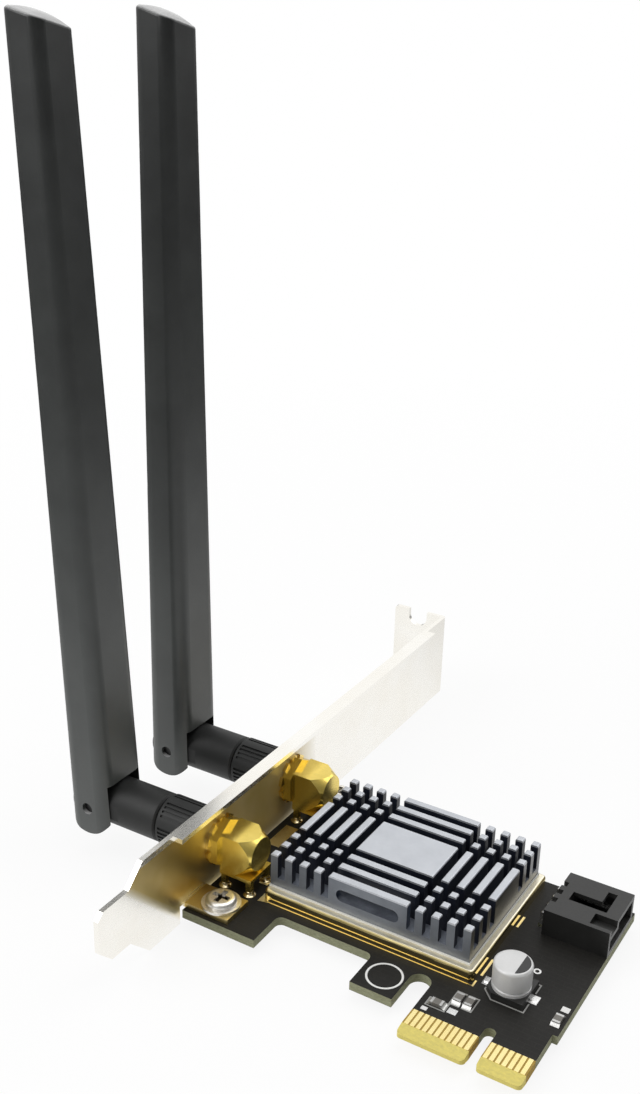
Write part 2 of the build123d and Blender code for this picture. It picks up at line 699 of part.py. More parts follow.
def build_aerial(name, y, lean):
    """One folding aerial: fluted coupling, elbow with its plug, hinge pin and hollow paddle."""
    grip_front = bracket_outer - nut_height - turn_gap
    flange_front = barrel_tip - running_gap
    flange_back = flange_front - plug_flange_thickness
    coupling_floor = flange_back - running_gap
    coupling_back = coupling_floor - coupling_back_wall
    coupling_front = grip_front - coupling_recess
    coupling_bore = barrel_radius + running_gap
    coupling_radius = coupling_bore + coupling_wall
    grip_radius = coupling_radius + grip_wall
    grip_back = coupling_back - grip_back_wall
    elbow_back = grip_back - turn_gap
    pivot = (elbow_back - elbow_reach, y, axis_height)
    fork_gap = knuckle_width + 2 * side_clearance
    paddle_base_width = fork_gap + 2 * ear_thickness
    paddle_foot = paddle_base_thickness / 2 + paddle_foot_drop
    roof = elbow_radius + fork_roof_clearance

    with BuildPart() as grip:
        with BuildSketch(across(grip_front, y, axis_height)):
            Circle(grip_radius)
        extrude(amount=grip_back - grip_front)
        chamfer(grip.faces().sort_by(Axis.X)[0].edges(), grip_edge)
        with BuildSketch(across(grip_front, y, axis_height)):
            for group in range(flute_groups):
                first = flute_start + group * 360 / flute_groups
                spread = (flutes_per_group - 1) * flute_turn
                with PolarLocations(grip_radius, flutes_per_group, first, spread, endpoint=True):
                    Rectangle(2 * flute_depth, flute_width)
        extrude(amount=grip_back + grip_ring - grip_front, mode=Mode.SUBTRACT)
        with BuildSketch(across(grip_front, y, axis_height)):
            Circle(coupling_radius)
        extrude(amount=coupling_back - grip_front, mode=Mode.SUBTRACT)
        with BuildSketch(across(grip_back, y, axis_height)):
            Circle(plug_radius + running_gap)
        extrude(amount=grip_back_wall, mode=Mode.SUBTRACT)
    write(grip, f"{name}_coupling_grip")

    with BuildPart() as coupling:
        with BuildSketch(across(coupling_back, y, axis_height)):
            Circle(coupling_radius)
            Circle(plug_radius + running_gap, mode=Mode.SUBTRACT)
        extrude(amount=coupling_front - coupling_back)
        with BuildSketch(across(coupling_floor, y, axis_height)):
            Circle(coupling_bore)
        extrude(amount=coupling_front - coupling_floor, mode=Mode.SUBTRACT)
    write(coupling, f"{name}_coupling_nut")

    with BuildPart() as plug:
        with BuildSketch(across(flange_front, y, axis_height)):
            Circle(coupling_bore - plug_flange_clearance)
            Circle(plug_socket_radius, mode=Mode.SUBTRACT)
        extrude(amount=-plug_flange_thickness)
        with BuildSketch(across(flange_back, y, axis_height)):
            Circle(plug_radius)
        extrude(amount=elbow_back - plug_seat - flange_back)
    write(plug, f"{name}_plug_body")

    with BuildPart() as elbow:
        with BuildSketch(across(elbow_back, y, axis_height)):
            Circle(elbow_radius)
        extrude(amount=-(elbow_reach + elbow_radius))
        chamfer(elbow.faces().sort_by(Axis.X)[-1].edges(), elbow_edge)
        with BuildSketch(upright(*pivot)):
            Rectangle(elbow_radius, 2 * elbow_radius, align=(Align.MAX, Align.CENTER))
            Circle(elbow_radius, mode=Mode.SUBTRACT)
        extrude(amount=elbow_radius, both=True, mode=Mode.SUBTRACT)
        with BuildSketch(Plane(pivot)):
            flat_end = paddle_foot + shoulder_gap
            flat_run = flat_end + elbow_radius
            with Locations((flat_end, 0)):
                Rectangle(flat_run, 2 * elbow_radius, align=(Align.MAX, Align.CENTER))
                Rectangle(flat_run, knuckle_width, align=(Align.MAX, Align.CENTER), mode=Mode.SUBTRACT)
        extrude(amount=elbow_radius, both=True, mode=Mode.SUBTRACT)
        with BuildSketch(upright(*pivot)):
            Circle(hinge_pin_radius + running_gap)
        extrude(amount=elbow_radius, both=True, mode=Mode.SUBTRACT)
        with BuildSketch(across(elbow_back, y, axis_height)):
            Circle(plug_radius)
        extrude(amount=-plug_seat, mode=Mode.SUBTRACT)
    write(elbow, f"{name}_elbow")

    with BuildPart() as hinge_pin:
        with BuildSketch(upright(*pivot)):
            Circle(hinge_pin_radius)
        extrude(amount=paddle_base_width / 2 - hinge_pin_recess, both=True)
    write(hinge_pin, f"{name}_hinge_pin")

    foot = Plane(pivot).rotated((0, -lean, 0))
    side = Plane(pivot, x_dir=foot.x_dir, z_dir=(0, -1, 0))
    length = paddle_height + paddle_foot
    floor = roof + paddle_floor
    top_drop = paddle_top_thickness / 2 * tan(radians(paddle_top_slope))
    top_drop += paddle_top_width / 2 * tan(radians(paddle_side_slope))
    ceiling = paddle_height - paddle_wall - 2 * top_drop
    with BuildPart() as paddle:
        with BuildSketch(foot.offset(-paddle_foot)):
            RectangleRounded(paddle_base_thickness, paddle_base_width, paddle_base_corner)
        with BuildSketch(foot.offset(paddle_height)):
            RectangleRounded(paddle_top_thickness, paddle_top_width, paddle_top_corner)
        loft()
        top_cut = foot.offset(paddle_height - top_drop).rotated((-paddle_side_slope, paddle_top_slope, 0))
        split(bisect_by=top_cut, keep=Keep.BOTTOM)
        fillet(paddle.faces().sort_by(Axis.Z)[-1].edges(), paddle_top_edge)
        with BuildSketch(side):
            Rectangle(2 * paddle_foot, paddle_foot, align=(Align.CENTER, Align.MAX))
            Circle(paddle_foot, mode=Mode.SUBTRACT)
        extrude(amount=paddle_base_width, both=True, mode=Mode.SUBTRACT)
        with BuildSketch(side):
            with Locations((0, roof)):
                Rectangle(2 * paddle_foot, roof + paddle_foot, align=(Align.CENTER, Align.MAX))
        extrude(amount=fork_gap / 2, both=True, mode=Mode.SUBTRACT)
        with BuildSketch(side):
            Circle(hinge_pin_radius)
        extrude(amount=paddle_base_width, both=True, mode=Mode.SUBTRACT)
        for height in (floor, ceiling):
            share = (height + paddle_foot) / length
            thick = paddle_base_thickness + share * (paddle_top_thickness - paddle_base_thickness)
            wide = paddle_base_width + share * (paddle_top_width - paddle_base_width)
            round_off = paddle_base_corner + share * (paddle_top_corner - paddle_base_corner)
            with BuildSketch(foot.offset(height)):
                inner_corner = round_off - paddle_wall / 2
                RectangleRounded(thick - 2 * paddle_wall, wide - 2 * paddle_wall, inner_corner)
        loft(mode=Mode.SUBTRACT)
        with BuildSketch(foot.offset(roof)):
            Circle(cable_hole_radius)
        extrude(amount=paddle_floor, mode=Mode.SUBTRACT)
    write(paddle, f"{name}_paddle")

    with BuildPart() as radiator:
        with BuildSketch(foot.offset(floor)):
            Rectangle(radiator_thickness, radiator_width)
        extrude(amount=radiator_length)
    write(radiator, f"{name}_radiator")


build_aerial("front", jack_front_y, front_lean)
build_aerial("rear", jack_rear_y, rear_lean)
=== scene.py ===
"""Dresses the wireless card: finishes for every solid, and the print, plating and solder on it."""

from __future__ import annotations

import logging
import math
from dataclasses import dataclass
from enum import Enum
from typing import Any, Mapping, Optional, Sequence, Union

import bmesh
import bpy
from mathutils import Matrix, Vector

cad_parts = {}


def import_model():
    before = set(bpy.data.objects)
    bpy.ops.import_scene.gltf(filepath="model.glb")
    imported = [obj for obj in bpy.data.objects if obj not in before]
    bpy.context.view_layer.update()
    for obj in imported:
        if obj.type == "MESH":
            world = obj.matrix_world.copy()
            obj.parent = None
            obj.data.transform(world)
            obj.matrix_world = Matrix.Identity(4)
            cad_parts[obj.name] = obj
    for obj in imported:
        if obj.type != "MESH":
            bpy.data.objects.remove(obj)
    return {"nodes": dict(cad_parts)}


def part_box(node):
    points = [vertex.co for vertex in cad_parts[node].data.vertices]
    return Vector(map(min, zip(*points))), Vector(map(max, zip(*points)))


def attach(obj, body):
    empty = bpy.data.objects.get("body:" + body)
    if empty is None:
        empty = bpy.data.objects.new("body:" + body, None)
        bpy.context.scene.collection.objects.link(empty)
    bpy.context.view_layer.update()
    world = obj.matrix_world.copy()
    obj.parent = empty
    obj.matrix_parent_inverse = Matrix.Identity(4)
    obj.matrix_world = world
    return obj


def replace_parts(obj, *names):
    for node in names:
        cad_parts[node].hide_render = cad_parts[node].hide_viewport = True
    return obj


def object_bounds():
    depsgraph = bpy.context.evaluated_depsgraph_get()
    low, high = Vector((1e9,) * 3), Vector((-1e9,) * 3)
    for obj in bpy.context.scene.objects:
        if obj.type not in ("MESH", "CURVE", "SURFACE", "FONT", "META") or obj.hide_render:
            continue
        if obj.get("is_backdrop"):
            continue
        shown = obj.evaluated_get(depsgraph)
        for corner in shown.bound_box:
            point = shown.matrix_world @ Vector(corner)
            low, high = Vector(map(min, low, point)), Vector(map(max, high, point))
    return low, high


log = logging.getLogger("card")

MM = 0.001
SHARP_ANGLE = math.radians(50.0)
WELD_DISTANCE = 1e-7
LEG_JOINT = {"Foot": 1.25 * MM, "Neck": 0.62 * MM, "Height": 0.75 * MM, "Flare": 0.9}
LEAD_JOINT = {"Foot": 1.15 * MM, "Neck": 0.55 * MM, "Height": -0.8 * MM, "Flare": 0.9}
Triple = tuple[float, float, float]
Colour = Triple
Spot = tuple[float, float]
Strip = tuple[float, float, float, float]
Span = tuple[Vector, Vector]
Material = bpy.types.Material
Piece = bpy.types.Object
Shape = bmesh.types.BMesh
Socket = bpy.types.NodeSocket
Value = Union[float, int, Colour, tuple[float, ...], Socket]


class Body(str, Enum):
    """Bodies that the pieces ride on."""

    CARD = "card"


class Side(str, Enum):
    """The two aerials and their sockets."""

    FRONT = "front"
    REAR = "rear"


class Graph:
    """Short calls for building a node tree."""

    def __init__(self, tree: bpy.types.NodeTree) -> None:
        """Keeps the tree that the nodes go into.

        Args:
            tree: A shader or geometry node tree.
        """
        self.tree = tree

    def add(
        self, kind: str, values: Optional[Mapping[Any, Value]] = None, **settings: Any
    ) -> bpy.types.Node:
        """Adds one node.

        Args:
            kind: The node's type name.
            values: Inputs by name or index, each a constant or a socket to link from.
            **settings: Properties of the node itself.

        Returns:
            The new node.
        """
        node = self.tree.nodes.new(kind)
        for name, setting in settings.items():
            setattr(node, name, setting)
        for key, value in (values or {}).items():
            self.feed(node.inputs[key], value)
        return node

    def feed(self, socket: Socket, value: Value) -> None:
        """Links a socket, or sets its constant.

        Args:
            socket: The input to feed.
            value: A constant, or an output to link from.
        """
        if isinstance(value, Socket):
            self.tree.links.new(value, socket)
        elif isinstance(value, tuple) and len(value) == 3 and socket.type == "RGBA":
            socket.default_value = (*value, 1.0)
        else:
            socket.default_value = value

    def math(self, operation: str, first: Value, second: Value = 0.0) -> Socket:
        """One step of arithmetic.

        Args:
            operation: The Math node's operation.
            first: Its first number.
            second: Its second number.

        Returns:
            The result's socket.
        """
        return self.add("ShaderNodeMath", {0: first, 1: second}, operation=operation).outputs[0]

    def ramp(
        self, value: Value, low: float, high: float, to_low: float = 0.0, to_high: float = 1.0
    ) -> Socket:
        """Maps a number from one range to another, held at both ends.

        Args:
            value: The number to map.
            low: Start of its range.
            high: End of its range.
            to_low: What the start becomes.
            to_high: What the end becomes.

        Returns:
            The mapped number's socket.
        """
        node = self.add("ShaderNodeMapRange", {0: value, 1: low, 2: high, 3: to_low, 4: to_high})
        node.clamp = True
        return node.outputs[0]

    def blend(self, share: Value, first: Value, second: Value) -> Socket:
        """Mixes two colours.

        Args:
            share: How much of the second colour.
            first: The colour at 0.
            second: The colour at 1.

        Returns:
            The mixed colour's socket.
        """
        node = self.add("ShaderNodeMix", data_type="RGBA")
        for key, value in ((0, share), (6, first), (7, second)):
            self.feed(node.inputs[key], value)
        return node.outputs[2]

    def noise(self, vector: Value, scale: float, detail: float = 3.0, roughness: float = 0.5) -> Socket:
        """Cloudy noise.

        Args:
            vector: Where it is read.
            scale: Its clouds per metre.
            detail: Its octaves.
            roughness: How strong the finer octaves are.

        Returns:
            A number about 0.5.
        """
        values = {"Vector": vector, "Scale": scale, "Detail": detail, "Roughness": roughness}
        return self.add("ShaderNodeTexNoise", values).outputs[0]

    def place(self) -> Socket:
        """Returns the place on the object, in metres."""
        return self.add("ShaderNodeTexCoord").outputs["Object"]

    def axes(self, vector: Value) -> bpy.types.NodeOutputs:
        """Takes a vector apart.

        Args:
            vector: The vector.

        Returns:
            Its X, Y and Z.
        """
        return self.add("ShaderNodeSeparateXYZ", {0: vector}).outputs

    def facing(self) -> bpy.types.NodeOutputs:
        """Returns the X, Y and Z of the surface's normal on the object."""
        return self.axes(self.add("ShaderNodeTexCoord").outputs["Normal"])

    def stretched(self, vector: Value, scale: Triple) -> Socket:
        """Stretches a pattern along the axes.

        Args:
            vector: The place to stretch.
            scale: Factor along X, Y and Z.

        Returns:
            The stretched place.
        """
        return self.add("ShaderNodeMapping", {"Vector": vector, "Scale": scale}).outputs[0]

    def bump(self, height: Value, strength: float, depth: float) -> Socket:
        """Turns a height into a normal.

        Args:
            height: The surface's height.
            strength: How much of it shows.
            depth: The height of one unit, in metres.

        Returns:
            The normal's socket.
        """
        values = {"Height": height, "Strength": strength, "Distance": depth}
        return self.add("ShaderNodeBump", values).outputs[0]


def fresh_graph(owner: Union[Material, bpy.types.World]) -> Graph:
    """Empties the node tree of a material or a world.

    Args:
        owner: What the tree belongs to.

    Returns:
        The graph of the empty tree.
    """
    owner.use_nodes = True
    owner.node_tree.nodes.clear()
    return Graph(owner.node_tree)


@dataclass(frozen=True)
class Finish:
    """Surface of one kind, drawn from the place on the object."""

    name: str

    def surface(self, graph: Graph, place: Socket) -> dict[str, Value]:
        """Draws the surface.

        Args:
            graph: The material's graph.
            place: The place on the object, in metres.

        Returns:
            The inputs of the surface shader, by name.
        """
        raise NotImplementedError

    def material(self) -> Material:
        """Returns the finish as a material."""
        material = bpy.data.materials.new(self.name)
        graph = fresh_graph(material)
        surface = graph.add("ShaderNodeBsdfPrincipled", self.surface(graph, graph.place()))
        graph.add("ShaderNodeOutputMaterial", {"Surface": surface.outputs[0]})
        return material


@dataclass(frozen=True)
class MetalFinish(Finish):
    """Plated or bare metal with fine marks along its lay and a little tarnish."""

    bright: Colour
    tarnish: Colour
    smooth: float
    rough: float
    lay: Triple = (1.0, 1.0, 1.0)
    grain: float = 2500.0
    cloud: float = 180.0
    depth: float = 2e-6
    metal: float = 1.0

    def surface(self, graph: Graph, place: Socket) -> dict[str, Value]:
        """Draws the surface, with arguments and result as in Finish."""
        cloud = graph.noise(place, self.cloud, 4.0, 0.6)
        marks = graph.noise(graph.stretched(place, self.lay), self.grain, 5.0, 0.65)
        share = graph.math(
            "ADD", graph.ramp(cloud, 0.35, 0.75, 0.0, 0.75), graph.ramp(marks, 0.45, 0.8, 0.0, 0.25)
        )
        return {
            "Metallic": self.metal,
            "Base Color": graph.blend(share, self.bright, self.tarnish),
            "Roughness": graph.ramp(marks, 0.3, 0.7, self.smooth, self.rough),
            "Normal": graph.bump(marks, 0.35, self.depth),
        }


@dataclass(frozen=True)
class BracketFinish(Finish):
    """Plated sheet steel, pale on tongue, lip and far end, with a painted reflection of the gilt sockets
    and the board in warm browns on its inner face round the sockets.
    """

    bright: Colour
    tarnish: Colour
    # Painted reflection of the gilt sockets and the board, in warm browns.
    painted_reflection: Colour
    painted_reflection_pale: Colour
    start: float
    end: float
    lip: float
    reflection_matt_start: float
    reflection_matt_full: float
    ear_start: float
    reflection_least_metal: float = 0.2
    fade: float = 1.2 * MM
    end_fade: float = 6.0 * MM

    def surface(self, graph: Graph, place: Socket) -> dict[str, Value]:
        """Draws the surface, with arguments and result as in Finish."""
        across, along, height = graph.axes(place)
        facing = graph.facing()[0]
        cloud = graph.noise(place, 60.0, 4.0, 0.6)
        blotch = graph.noise(place, 110.0, 2.0, 0.5)
        marks = graph.noise(graph.stretched(place, (1.0, 0.25, 1.0)), 900.0, 5.0, 0.65)
        # Where the painted reflection lies: the inner face and ears round the sockets, below the lip.
        near = graph.ramp(graph.math("ADD", along, height), self.start - self.fade, self.start + self.fade)
        near = graph.math(
            "MULTIPLY", near,
            graph.ramp(along, self.end - self.end_fade, self.end + self.end_fade, 1.0, 0.0),
        )
        near = graph.math("MULTIPLY", near, graph.ramp(height, self.lip - 1e-4, self.lip, 1.0, 0.0))
        inner = graph.math(
            "MAXIMUM", graph.ramp(facing, 0.5, 0.9),
            graph.ramp(across, self.ear_start - 1e-4, self.ear_start),
        )
        near = graph.math("MULTIPLY", near, inner)
        plain = graph.blend(graph.ramp(cloud, 0.35, 0.75, 0.0, 0.7), self.bright, self.tarnish)
        reflected_tint = graph.blend(graph.ramp(blotch, 0.35, 0.65), self.painted_reflection, self.painted_reflection_pale)
        # The painted reflection loses most of its metal so that its colour shows.
        film = graph.math(
            "MULTIPLY", near, graph.ramp(along, self.reflection_matt_start, self.reflection_matt_full, 0.0, 1.0 - self.reflection_least_metal)
        )
        rough = graph.math(
            "ADD", graph.ramp(marks, 0.3, 0.7, 0.25, 0.29), graph.math("MULTIPLY", near, 0.1)
        )
        return {
            "Base Color": graph.blend(near, plain, reflected_tint),
            "Metallic": graph.math("SUBTRACT", 1.0, film),
            "Roughness": rough,
            "Normal": graph.bump(marks, 0.1, 3e-7),
        }


@dataclass(frozen=True)
class ShieldFinish(Finish):
    """Tinned can, pale on its flat top; the olive of its sides is painted reflection of the board, and its
    near-black rolled edge is painted shade.
    """

    top: Colour
    # rim is painted shade on the rolled edge; side is painted reflection of the board on the upright faces.
    rim: Colour
    side: Colour
    tarnish: Colour

    def surface(self, graph: Graph, place: Socket) -> dict[str, Value]:
        """Draws the surface, with arguments and result as in Finish."""
        rise = graph.facing()[2]
        flat = graph.ramp(rise, 0.8, 0.98)
        upright = graph.ramp(rise, 0.05, 0.25, 1.0, 0.0)
        cloud = graph.noise(place, 120.0, 4.0, 0.6)
        marks = graph.noise(graph.stretched(place, (0.05, 1.0, 1.0)), 1500.0, 5.0, 0.65)
        # Colour by facing: olive sides are painted reflection of the board, the dark rolled edge is painted
        # shade.
        skin = graph.blend(flat, graph.blend(upright, self.rim, self.side), self.top)
        rough = graph.math(
            "ADD", graph.ramp(marks, 0.3, 0.7, 0.06, 0.12), graph.ramp(upright, 0.0, 1.0, 0.24, 0.0)
        )
        return {
            "Metallic": 1.0,
            "Base Color": graph.blend(graph.ramp(cloud, 0.4, 0.8, 0.0, 0.6), skin, self.tarnish),
            "Roughness": rough,
            "Normal": graph.bump(marks, 0.3, 1e-6),
        }


@dataclass(frozen=True)
class ScrewFinish(Finish):
    """Plated screw heads, with painted shade in their cross recesses."""

    bright: Colour
    tarnish: Colour
    # Painted shade inside the cross recess.
    recess_shade: Colour
    middle: Triple
    apart: float
    recess_radius: float = 1.05 * MM
    recess_start: float = 0.12 * MM
    recess_end: float = 0.4 * MM

    def surface(self, graph: Graph, place: Socket) -> dict[str, Value]:
        """Draws the surface, with arguments and result as in Finish."""
        axes = graph.axes(place)
        east = graph.math("SUBTRACT", axes[0], self.middle[0])
        north = graph.math(
            "SUBTRACT", graph.math("ABSOLUTE", graph.math("SUBTRACT", axes[1], self.middle[1])),
            self.apart / 2,
        )
        away = graph.math(
            "SQRT",
            graph.math("ADD", graph.math("MULTIPLY", east, east), graph.math("MULTIPLY", north, north)),
        )
        # Painted shade: darkens the cross recess, by distance from the head's middle and by depth.
        inside = graph.ramp(away, self.recess_radius, self.recess_radius + 5e-5, 1.0, 0.0)
        deep = graph.ramp(
            axes[2], self.middle[2] - self.recess_end, self.middle[2] - self.recess_start, 1.0, 0.0
        )
        marks = graph.noise(place, 2500.0, 5.0, 0.65)
        metal = graph.blend(graph.ramp(marks, 0.35, 0.75), self.bright, self.tarnish)
        return {
            "Metallic": 1.0,
            "Base Color": graph.blend(graph.math("MULTIPLY", inside, deep), metal, self.recess_shade),
            "Roughness": graph.ramp(marks, 0.3, 0.7, 0.32, 0.44),
            "Normal": graph.bump(marks, 0.3, 1e-6),
        }


@dataclass(frozen=True)
class MouldedFinish(Finish):
    """Moulded or printed surface with a fine spark-eroded grain."""

    colour: Colour
    pale: Colour
    smooth: float
    rough: float
    grain: float = 2200.0
    depth: float = 8e-6
    gloss: float = 0.5

    def surface(self, graph: Graph, place: Socket) -> dict[str, Value]:
        """Draws the surface, with arguments and result as in Finish."""
        grain = graph.noise(place, self.grain, 4.0, 0.6)
        cloud = graph.noise(place, self.grain / 24.0, 3.0, 0.5)
        share = graph.math(
            "ADD", graph.ramp(cloud, 0.35, 0.7, 0.0, 0.7), graph.ramp(grain, 0.4, 0.75, 0.0, 0.3)
        )
        return {
            "Specular IOR Level": self.gloss,
            "Base Color": graph.blend(share, self.colour, self.pale),
            "Roughness": graph.ramp(grain, 0.3, 0.7, self.smooth, self.rough),
            "Normal": graph.bump(grain, 0.5, self.depth),
        }


@dataclass(frozen=True)
class PaddleFinish(Finish):
    """Moulded aerial case: satin and mottled, paler towards its foot as painted light from the floor below,
    with a smoother sloping top whose pale grey is a painted highlight.
    """

    colour: Colour
    # Pale colour for the painted light from the floor towards the foot, and for random mottle.
    pale_bounce_and_mottle: Colour
    # Painted highlight: the pale grey of the upward-facing top.
    top: Colour
    foot_height: float
    top_height: float
    gloss: float = 0.65
    top_gloss: float = 0.12

    def surface(self, graph: Graph, place: Socket) -> dict[str, Value]:
        """Draws the surface, with arguments and result as in Finish."""
        height = graph.axes(place)[2]
        rise = graph.facing()[2]
        grain = graph.noise(place, 3000.0, 4.0, 0.6)
        cloud = graph.noise(place, 125.0, 3.0, 0.5)
        # Painted light: paler towards the foot as if lit from the floor below, plus random mottle.
        bounce_and_mottle_share = graph.math(
            "ADD", graph.ramp(height, self.foot_height, self.top_height, 0.8, 0.0),
            graph.ramp(cloud, 0.35, 0.7, 0.0, 0.2),
        )
        # Painted highlight: faces turned upward take the pale top colour.
        cut = graph.ramp(rise, 0.4, 0.8)
        satin = graph.ramp(grain, 0.3, 0.7, 0.36, 0.46)
        return {
            "Specular IOR Level": self.gloss,
            "Base Color": graph.blend(cut, graph.blend(bounce_and_mottle_share, self.colour, self.pale_bounce_and_mottle), self.top),
            "Roughness": graph.math("SUBTRACT", satin, graph.math("MULTIPLY", cut, 0.4 - self.top_gloss)),
            "Normal": graph.bump(grain, 0.5, 6e-6),
        }


@dataclass(frozen=True)
class LaminateFinish(Finish):
    """Circuit board: dark mask over tracks, pale fibre at cut edges, bare laminate at the contacts."""

    mask: Colour
    track: Colour
    fibre: Colour
    fibre_dark: Colour
    bare: Colour
    bevel: Colour
    thickness: float
    contact_left: float
    contact_line: float
    bevel_run: float

    def surface(self, graph: Graph, place: Socket) -> dict[str, Value]:
        """Draws the surface, with arguments and result as in Finish."""
        axes = graph.axes(place)
        step = 2e-5
        half = self.thickness / 2
        height = graph.math("ABSOLUTE", graph.math("ADD", axes[2], half))
        edge = graph.ramp(height, half - 2 * step, half - step, 1.0, 0.0)
        ahead = graph.ramp(axes[1], self.contact_line - step, self.contact_line + step, 1.0, 0.0)
        beside = graph.ramp(axes[0], self.contact_left - step, self.contact_left + step)
        contacts = graph.math("MULTIPLY", ahead, beside)
        tip = graph.ramp(axes[1], self.bevel_run - step, self.bevel_run + step, 1.0, 0.0)
        bricks = graph.add(
            "ShaderNodeTexBrick",
            {
                "Vector": place, "Scale": 330.0, "Mortar Size": 0.035, "Mortar Smooth": 0.4,
                "Brick Width": 0.9, "Row Height": 0.33,
            },
        )
        tracks = bricks.outputs["Fac"]
        cloud = graph.noise(place, 160.0, 4.0, 0.6)
        speck = graph.noise(place, 3800.0, 2.0, 0.5)
        mask = graph.blend(graph.ramp(cloud, 0.3, 0.75, 0.0, 0.5), self.mask, self.track)
        mask = graph.blend(graph.math("MULTIPLY", tracks, 0.3), mask, self.track)
        weave = graph.noise(graph.stretched(place, (1.0, 1.0, 6.0)), 1500.0, 4.0, 0.6)
        fibre = graph.blend(graph.ramp(weave, 0.35, 0.7), self.fibre, self.fibre_dark)
        colour = graph.blend(edge, mask, fibre)
        gilt = graph.blend(
            graph.ramp(weave, 0.3, 0.8, 0.0, 0.3), graph.blend(tip, self.bare, self.bevel), self.fibre_dark
        )
        rough = graph.math(
            "ADD", graph.ramp(speck, 0.3, 0.7, 0.42, 0.55), graph.math("MULTIPLY", edge, 0.2)
        )
        relief = graph.math("ADD", graph.math("MULTIPLY", tracks, 0.8), graph.math("MULTIPLY", speck, 0.5))
        return {
            "Specular IOR Level": 0.16,
            "Base Color": graph.blend(contacts, colour, gilt),
            "Roughness": rough,
            "Normal": graph.bump(relief, 0.4, 1.2e-5),
        }


@dataclass(frozen=True)
class ShadedHeatsinkFinish(Finish):
    """Heatsink of cut aluminium on tops and outer faces, bare slot floors: the tops keep the metal's own
    colour, and the darker outer faces and ends, grey slot floors and window and near-black slot walls are
    painted shade.
    """

    cut: Colour
    cut_dull: Colour
    # side, end, floor, pocket and the two groove colours are painted shade on one bare metal.
    side: Colour
    end: Colour
    floor: Colour
    pocket: Colour
    groove_shade: Colour
    groove_shade_pale: Colour
    low: Triple
    high: Triple
    tip_round: float = 0.33 * MM
    pocket_depth: float = 1.4 * MM
    pocket_reach: float = 7.4 * MM

    def surface(self, graph: Graph, place: Socket) -> dict[str, Value]:
        """Draws the surface, with arguments and result as in Finish."""
        axes = graph.axes(place)
        facing = graph.facing()
        skin = 3e-5
        away = []
        for axis in (0, 1):
            middle = (self.low[axis] + self.high[axis]) / 2
            away.append(graph.math("ABSOLUTE", graph.math("SUBTRACT", axes[axis], middle)))
        half = [(self.high[axis] - self.low[axis]) / 2 for axis in (0, 1)]
        end = graph.ramp(away[0], half[0] - 2 * skin, half[0] - skin)
        front = graph.ramp(away[1], half[1] - 2 * skin, half[1] - skin)
        top = graph.ramp(axes[2], self.high[2] - self.tip_round - skin, self.high[2] - self.tip_round)
        floor = graph.ramp(facing[2], 0.6, 0.8)
        near = graph.ramp(
            axes[1], self.low[1] + self.pocket_depth, self.low[1] + self.pocket_depth + skin, 1.0, 0.0
        )
        inside = graph.ramp(away[0], self.pocket_reach, self.pocket_reach + skin, 1.0, 0.0)
        pocket = graph.math("MULTIPLY", near, inside)
        lines = graph.noise(graph.stretched(place, (1.0, 14.0, 3.0)), 900.0, 5.0, 0.65)
        cloud = graph.noise(place, 260.0, 4.0, 0.6)
        # Painted shade: the near-black slot walls.
        wall_shade = graph.blend(graph.ramp(cloud, 0.4, 0.75), self.groove_shade, self.groove_shade_pale)
        colour = graph.blend(pocket, wall_shade, self.pocket)
        colour = graph.blend(
            floor, colour,
            graph.blend(graph.ramp(cloud, 0.35, 0.7, 0.0, 0.6), self.floor, self.groove_shade_pale),
        )
        # Painted shade: outer faces and ends darker than the cut tops.
        flank = graph.blend(graph.ramp(cloud, 0.35, 0.7, 0.0, 0.12), self.side, self.cut_dull)
        colour = graph.blend(end, graph.blend(front, colour, flank), self.end)
        colour = graph.blend(
            top, colour, graph.blend(graph.ramp(cloud, 0.35, 0.7), self.cut, self.cut_dull)
        )
        bare = graph.math(
            "MAXIMUM", graph.math("MULTIPLY", floor, 0.5),
            graph.math("MULTIPLY", graph.math("MAXIMUM", front, top), 0.6),
        )
        rough = graph.math(
            "SUBTRACT", graph.ramp(lines, 0.3, 0.7, 0.38, 0.55), graph.math("MULTIPLY", end, 0.12)
        )
        return {
            "Base Color": colour,
            "Metallic": graph.math("MAXIMUM", bare, end),
            "Roughness": rough,
            "Normal": graph.bump(lines, 0.2, 1.5e-6),
        }


